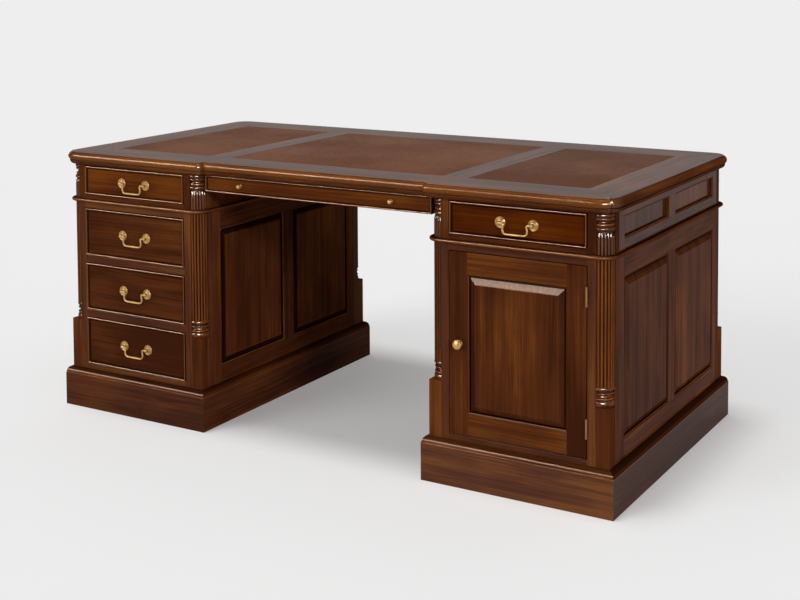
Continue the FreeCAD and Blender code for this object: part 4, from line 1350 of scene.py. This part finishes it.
class DESK_OT_handles(bpy.types.Operator):
    """Swan-neck bails on turned rosettes"""
    bl_idname = "desk.handles"
    bl_label = "Handles"

    def rosette(self, work, sizes, x):
        """Dished rose with raised rings, a short neck and the ball that holds the bail."""
        rose, ball = sizes.rosette, sizes.ball
        profile = [(rose * share, height) for share, height in ROSE]
        profile += bow((0, sizes.pivot_height), (ball, ball), *BALL_ARC)
        work.turned(add_wear_and_shading(profile, 1), ROSETTE_FACES, (x, 0, 0))

    def path(self, sizes):
        """Middle line of a bail in its own plane and the end of its grip; drawn from the grip's middle to one
        pivot, then mirrored."""
        grip_steps, corner_steps, arm_steps, turn_steps, stub_steps = BAIL_STEPS
        lean = math.radians(sizes.bail_lean)
        turn_r, corner_r = sizes.bail_turn, sizes.bail_corner
        half = sizes.handle_spacing / 2
        turn_x = half - sizes.bail_stub
        start = Vector((turn_x - turn_r * math.cos(lean), -turn_r - turn_r * math.sin(lean), 0))
        low_y = corner_r - sizes.bail_drop
        arm_y = low_y + corner_r * math.sin(lean)
        arm_x = start.x + (start.y - arm_y) * math.tan(lean)
        corner_x = arm_x - corner_r * math.cos(lean)
        points = [Vector((corner_x * n / grip_steps, -sizes.bail_drop, 0)) for n in range(grip_steps)]
        for a, b in bow((corner_x, low_y), (corner_r, corner_r), -90, sizes.bail_lean, corner_steps):
            points.append(Vector((a, b, 0)))
        for n in range(1, arm_steps):
            points.append(Vector((arm_x, arm_y, 0)).lerp(start, n / arm_steps))
        for a, b in bow((turn_x, -turn_r), (turn_r, turn_r), 180 + sizes.bail_lean, 90, turn_steps):
            points.append(Vector((a, b, 0)))
        stub = half - sizes.bail_reveal - turn_x
        points += [Vector((turn_x + stub * n / stub_steps, 0, 0)) for n in range(1, stub_steps + 1)]
        other = [Vector((-p.x, p.y, 0)) for p in points[1:]]
        return other[::-1] + points, corner_x

    def execute(self, context):
        sizes = context.scene.desk_sizes
        path, corner_x = self.path(sizes)
        swell = sizes.bail_grip - sizes.bail_wire
        radii = []
        for spot in path:
            share = min(abs(spot.x) / corner_x, 1) if spot.y < -sizes.bail_drop * GRIP_LEVEL else 1
            radii.append(sizes.bail_wire + swell * (1 + math.cos(math.pi * share)) / 2)
        for n, (name, _, _) in enumerate(BOARDS):
            drawer, bail = "front_%s_drawer" % name, "front_%s_bail" % name
            low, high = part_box(drawer)
            bottom = low.z + sizes.opening_gap - sizes.drawer_clearance
            place = facing(0, (low.x + high.x) / 2, low.y + sizes.bead_proud, (bottom + high.z) / 2)
            work = Joinery(70 + n, place)
            for s in (-1, 1):
                self.rosette(work, sizes, s * sizes.handle_spacing / 2)
            roses = "front_%s_rosettes" % name
            work.finish("front_%s_roses" % name, [roses], "rubbed_brass", drawer, soft=False)
            work = Joinery(80 + n, place @ Matrix.Translation((0, 0, sizes.pivot_height)))
            work.tube(path, radii, BAIL_FACES)
            work.finish("front_%s_handle" % name, [bail], "rubbed_brass", bail, soft=False)
        return {"FINISHED"}


class DESK_OT_knobs(bpy.types.Operator):
    """Turned knobs of the doors and the shallow drawers"""
    bl_idname = "desk.knobs"
    bl_label = "Knobs"

    def knob(self, work, x, shape):
        (rose_r, rose_h), (neck_r, neck_h), (head_r, head_h), sides = shape
        low = rose_h + neck_h
        soft = rose_h * ROSE_ROUND
        profile = [(rose_r, 0), (rose_r, rose_h - soft)]
        profile += bow((rose_r - soft, rose_h - soft), (soft, soft), 0, 90, 5)[1:]
        profile += [(neck_r * a, rose_h + neck_h * b) for a, b in NECK_SHARES]
        profile += [(head_r * a, low + head_h * b) for a, b in HEAD_LOW_SHARES]
        (middle_r, middle_h), (round_r, round_h), turn = HEAD_ROUND
        middle = (head_r * middle_r, low + head_h * middle_h)
        profile += bow(middle, (head_r * round_r, head_h * round_h), *turn)
        profile += [(head_r * a, low + head_h * b) for a, b in HEAD_HIGH_SHARES]
        work.turned(add_wear_and_shading(profile, 1), sides, (x, 0, 0))

    def execute(self, context):
        sizes = context.scene.desk_sizes
        low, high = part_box("front_door_knob")
        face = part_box("front_door")[0].y + panel_proud(sizes)
        work = Joinery(91, facing(0, (low.x + high.x) / 2, face, (low.z + high.z) / 2))
        self.knob(work, 0, DOOR_KNOB)
        work.finish("front_door_pull", ["front_door_knob"], "rubbed_brass", "front_door", soft=False)
        low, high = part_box("front_centre_knobs")
        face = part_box("front_centre_drawer")[0].y + sizes.bead_proud
        work = Joinery(92, facing(0, 0, face, (low.z + high.z) / 2))
        for s in (-1, 1):
            self.knob(work, s * sizes.small_knob_out, SMALL_KNOB)
        work.finish("front_centre_pulls", ["front_centre_knobs"], "rubbed_brass", "front_centre_drawer",
                    soft=False)
        return {"FINISHED"}


class DESK_OT_insides(bpy.types.Operator):
    """Finishes for the hinges and the boards inside, which keep their CAD shape"""
    bl_idname = "desk.insides"
    bl_label = "Insides and hinges"

    def execute(self, context):
        for name, nodes in KEPT_NODES.items():
            for node in nodes:
                data = frame["nodes"][node].data
                data.materials.clear()
                data.materials.append(bpy.data.materials[name])
        return {"FINISHED"}


class DESK_OT_stage(bpy.types.Operator):
    """Floor, soft light and the camera"""
    bl_idname = "desk.stage"
    bl_label = "Studio"

    def floor(self, colours):
        data = bpy.data.meshes.new("floor")
        side = (-FLOOR_REACH, FLOOR_REACH)
        data.from_pydata([(x, y, 0) for x, y in rectangle(side, side)], [], [(0, 1, 2, 3)])
        floor = bpy.data.objects.new("floor", data)
        bpy.context.scene.collection.objects.link(floor)
        material = bpy.data.materials.new("floor")
        material.use_nodes = True
        tree = material.node_tree
        shader = tree.nodes["Principled BSDF"]
        shader.inputs["Base Color"].default_value = (*colours.floor, 1)
        shader.inputs["Roughness"].default_value = FLOOR_ROUGHNESS
        shader.inputs["Specular IOR Level"].default_value = 0.0
        pale = tree.nodes.new("ShaderNodeEmission")
        pale.inputs["Color"].default_value = (*colours.background, 1)
        rays = tree.nodes.new("ShaderNodeLightPath").outputs
        seen = calc(tree, "MAXIMUM", rays["Is Camera Ray"], rays["Is Glossy Ray"])
        seen = calc(tree, "MAXIMUM", seen, rays["Is Transmission Ray"])
        mixed = tree.nodes.new("ShaderNodeMixShader")
        tree.links.new(calc(tree, "MULTIPLY", seen, FLOOR_GLOW), mixed.inputs[0])
        tree.links.new(shader.outputs[0], mixed.inputs[1])
        tree.links.new(pale.outputs[0], mixed.inputs[2])
        tree.links.new(mixed.outputs[0], tree.nodes["Material Output"].inputs["Surface"])
        data.materials.append(material)

    def lamp(self, name, energy, direction, angle, lit, glint):
        """A far lamp; it may light some pieces only, and a glint is only seen as a reflection."""
        data = bpy.data.lights.new(name, "SUN")
        data.energy = energy
        data.angle = math.radians(angle)
        lamp = bpy.data.objects.new(name, data)
        lamp.rotation_euler = Vector(direction).to_track_quat("Z", "Y").to_euler()
        lamp.visible_diffuse = not glint
        lamp.light_linking.receiver_collection = lit
        if glint:
            data.color = bpy.context.scene.desk_colours.glint
        bpy.context.scene.collection.objects.link(lamp)

    def pieces(self, name, material=None):
        """A collection of the desk's pieces, or of those with one material."""
        found = bpy.data.collections.new(name)
        for obj in bpy.context.scene.objects:
            if obj.type == "MESH" and obj.name != "floor" and material in (None, obj.data.materials[0].name):
                found.objects.link(obj)
        return found

    def world(self):
        world = bpy.data.worlds.new("studio")
        world.use_nodes = True
        tree = world.node_tree
        back = tree.nodes["Background"]
        way = tree.nodes.new("ShaderNodeSeparateXYZ")
        tree.links.new(tree.nodes.new("ShaderNodeTexCoord").outputs["Generated"], way.inputs[0])
        leftwards = span(tree, way.outputs["X"], *STRIP_RIGHT, 1.0, 0.0)
        rear = calc(tree, "MULTIPLY", span(tree, way.outputs["Y"], *STRIP_BACK), leftwards)
        strip = calc(tree, "MULTIPLY", rear, span(tree, way.outputs["Z"], *STRIP_UP, STRIP_STRENGTH, 0.0))
        rays = tree.nodes.new("ShaderNodeLightPath").outputs
        seen = calc(tree, "MULTIPLY", rays["Is Camera Ray"], WORLD_SEEN)
        strength = calc(tree, "MAXIMUM", calc(tree, "ADD", strip, WORLD_STRENGTH), seen)
        tree.links.new(strength, back.inputs["Strength"])
        back.inputs["Color"].default_value = (1, 1, 1, 1)
        bpy.context.scene.world = world

    def camera(self):
        data = bpy.data.cameras.new("camera")
        data.sensor_width = CAMERA_SENSOR
        data.lens = CAMERA_LENS
        data.shift_x, data.shift_y = CAMERA_SHIFT
        data.clip_end = CAMERA_END
        camera = bpy.data.objects.new("camera", data)
        turn, tilt, roll = [math.radians(angle) for angle in (CAMERA_TURN, CAMERA_TILT, CAMERA_ROLL)]
        back = Vector((math.sin(turn) * math.cos(tilt), -math.cos(turn) * math.cos(tilt), math.sin(tilt)))
        right = Vector((math.cos(turn), math.sin(turn), 0))
        right = math.cos(roll) * right + math.sin(roll) * back.cross(right)
        axes = Matrix((right, back.cross(right), back)).transposed().to_4x4()
        camera.matrix_world = Matrix.Translation(CAMERA_PLACE) @ axes
        bpy.context.scene.collection.objects.link(camera)
        bpy.context.scene.camera = camera

    def execute(self, context):
        self.floor(context.scene.desk_colours)
        groups = {None: None, "desk": self.pieces("desk"),
                  "lacquered": self.pieces("lacquered", "polished_mahogany")}
        for name, energy, direction, angle, lit, glint in LAMPS:
            self.lamp(name, energy, direction, angle, groups[lit], glint)
        self.world()
        self.camera()
        context.scene.view_settings.view_transform = "Standard"
        return {"FINISHED"}


class DESK_PT_sidebar(bpy.types.Panel):
    """Steps of the desk in the sidebar"""
    bl_idname = "DESK_PT_sidebar"
    bl_label = "Partners desk"
    bl_space_type = "VIEW_3D"
    bl_region_type = "UI"
    bl_category = "Desk"

    def draw(self, context):
        for step in STEPS:
            self.layout.operator(step.bl_idname)
        for group in (context.scene.desk_sizes, context.scene.desk_reeds, context.scene.desk_colours):
            column = self.layout.column(align=True)
            for key in group.bl_rna.properties.keys():
                if key not in ("rna_type", "name"):
                    column.prop(group, key)


STEPS = (DESK_OT_materials, DESK_OT_top, DESK_OT_columns, DESK_OT_pedestals, DESK_OT_frieze, DESK_OT_drawers,
         DESK_OT_doors, DESK_OT_handles, DESK_OT_knobs, DESK_OT_insides, DESK_OT_stage)
CLASSES = (DeskSizes, DeskColours, DeskReeds) + STEPS + (DESK_PT_sidebar,)


def register():
    for kind in CLASSES:
        bpy.utils.register_class(kind)
    bpy.types.Scene.desk_sizes = PointerProperty(type=DeskSizes)
    bpy.types.Scene.desk_colours = PointerProperty(type=DeskColours)
    bpy.types.Scene.desk_reeds = PointerProperty(type=DeskReeds)


def unregister():
    del bpy.types.Scene.desk_sizes
    del bpy.types.Scene.desk_colours
    del bpy.types.Scene.desk_reeds
    for kind in reversed(CLASSES):
        bpy.utils.unregister_class(kind)


def main():
    register()
    for step in STEPS:
        getattr(bpy.ops.desk, step.bl_idname.split(".")[1])()


if __name__ == "__main__":
    main()
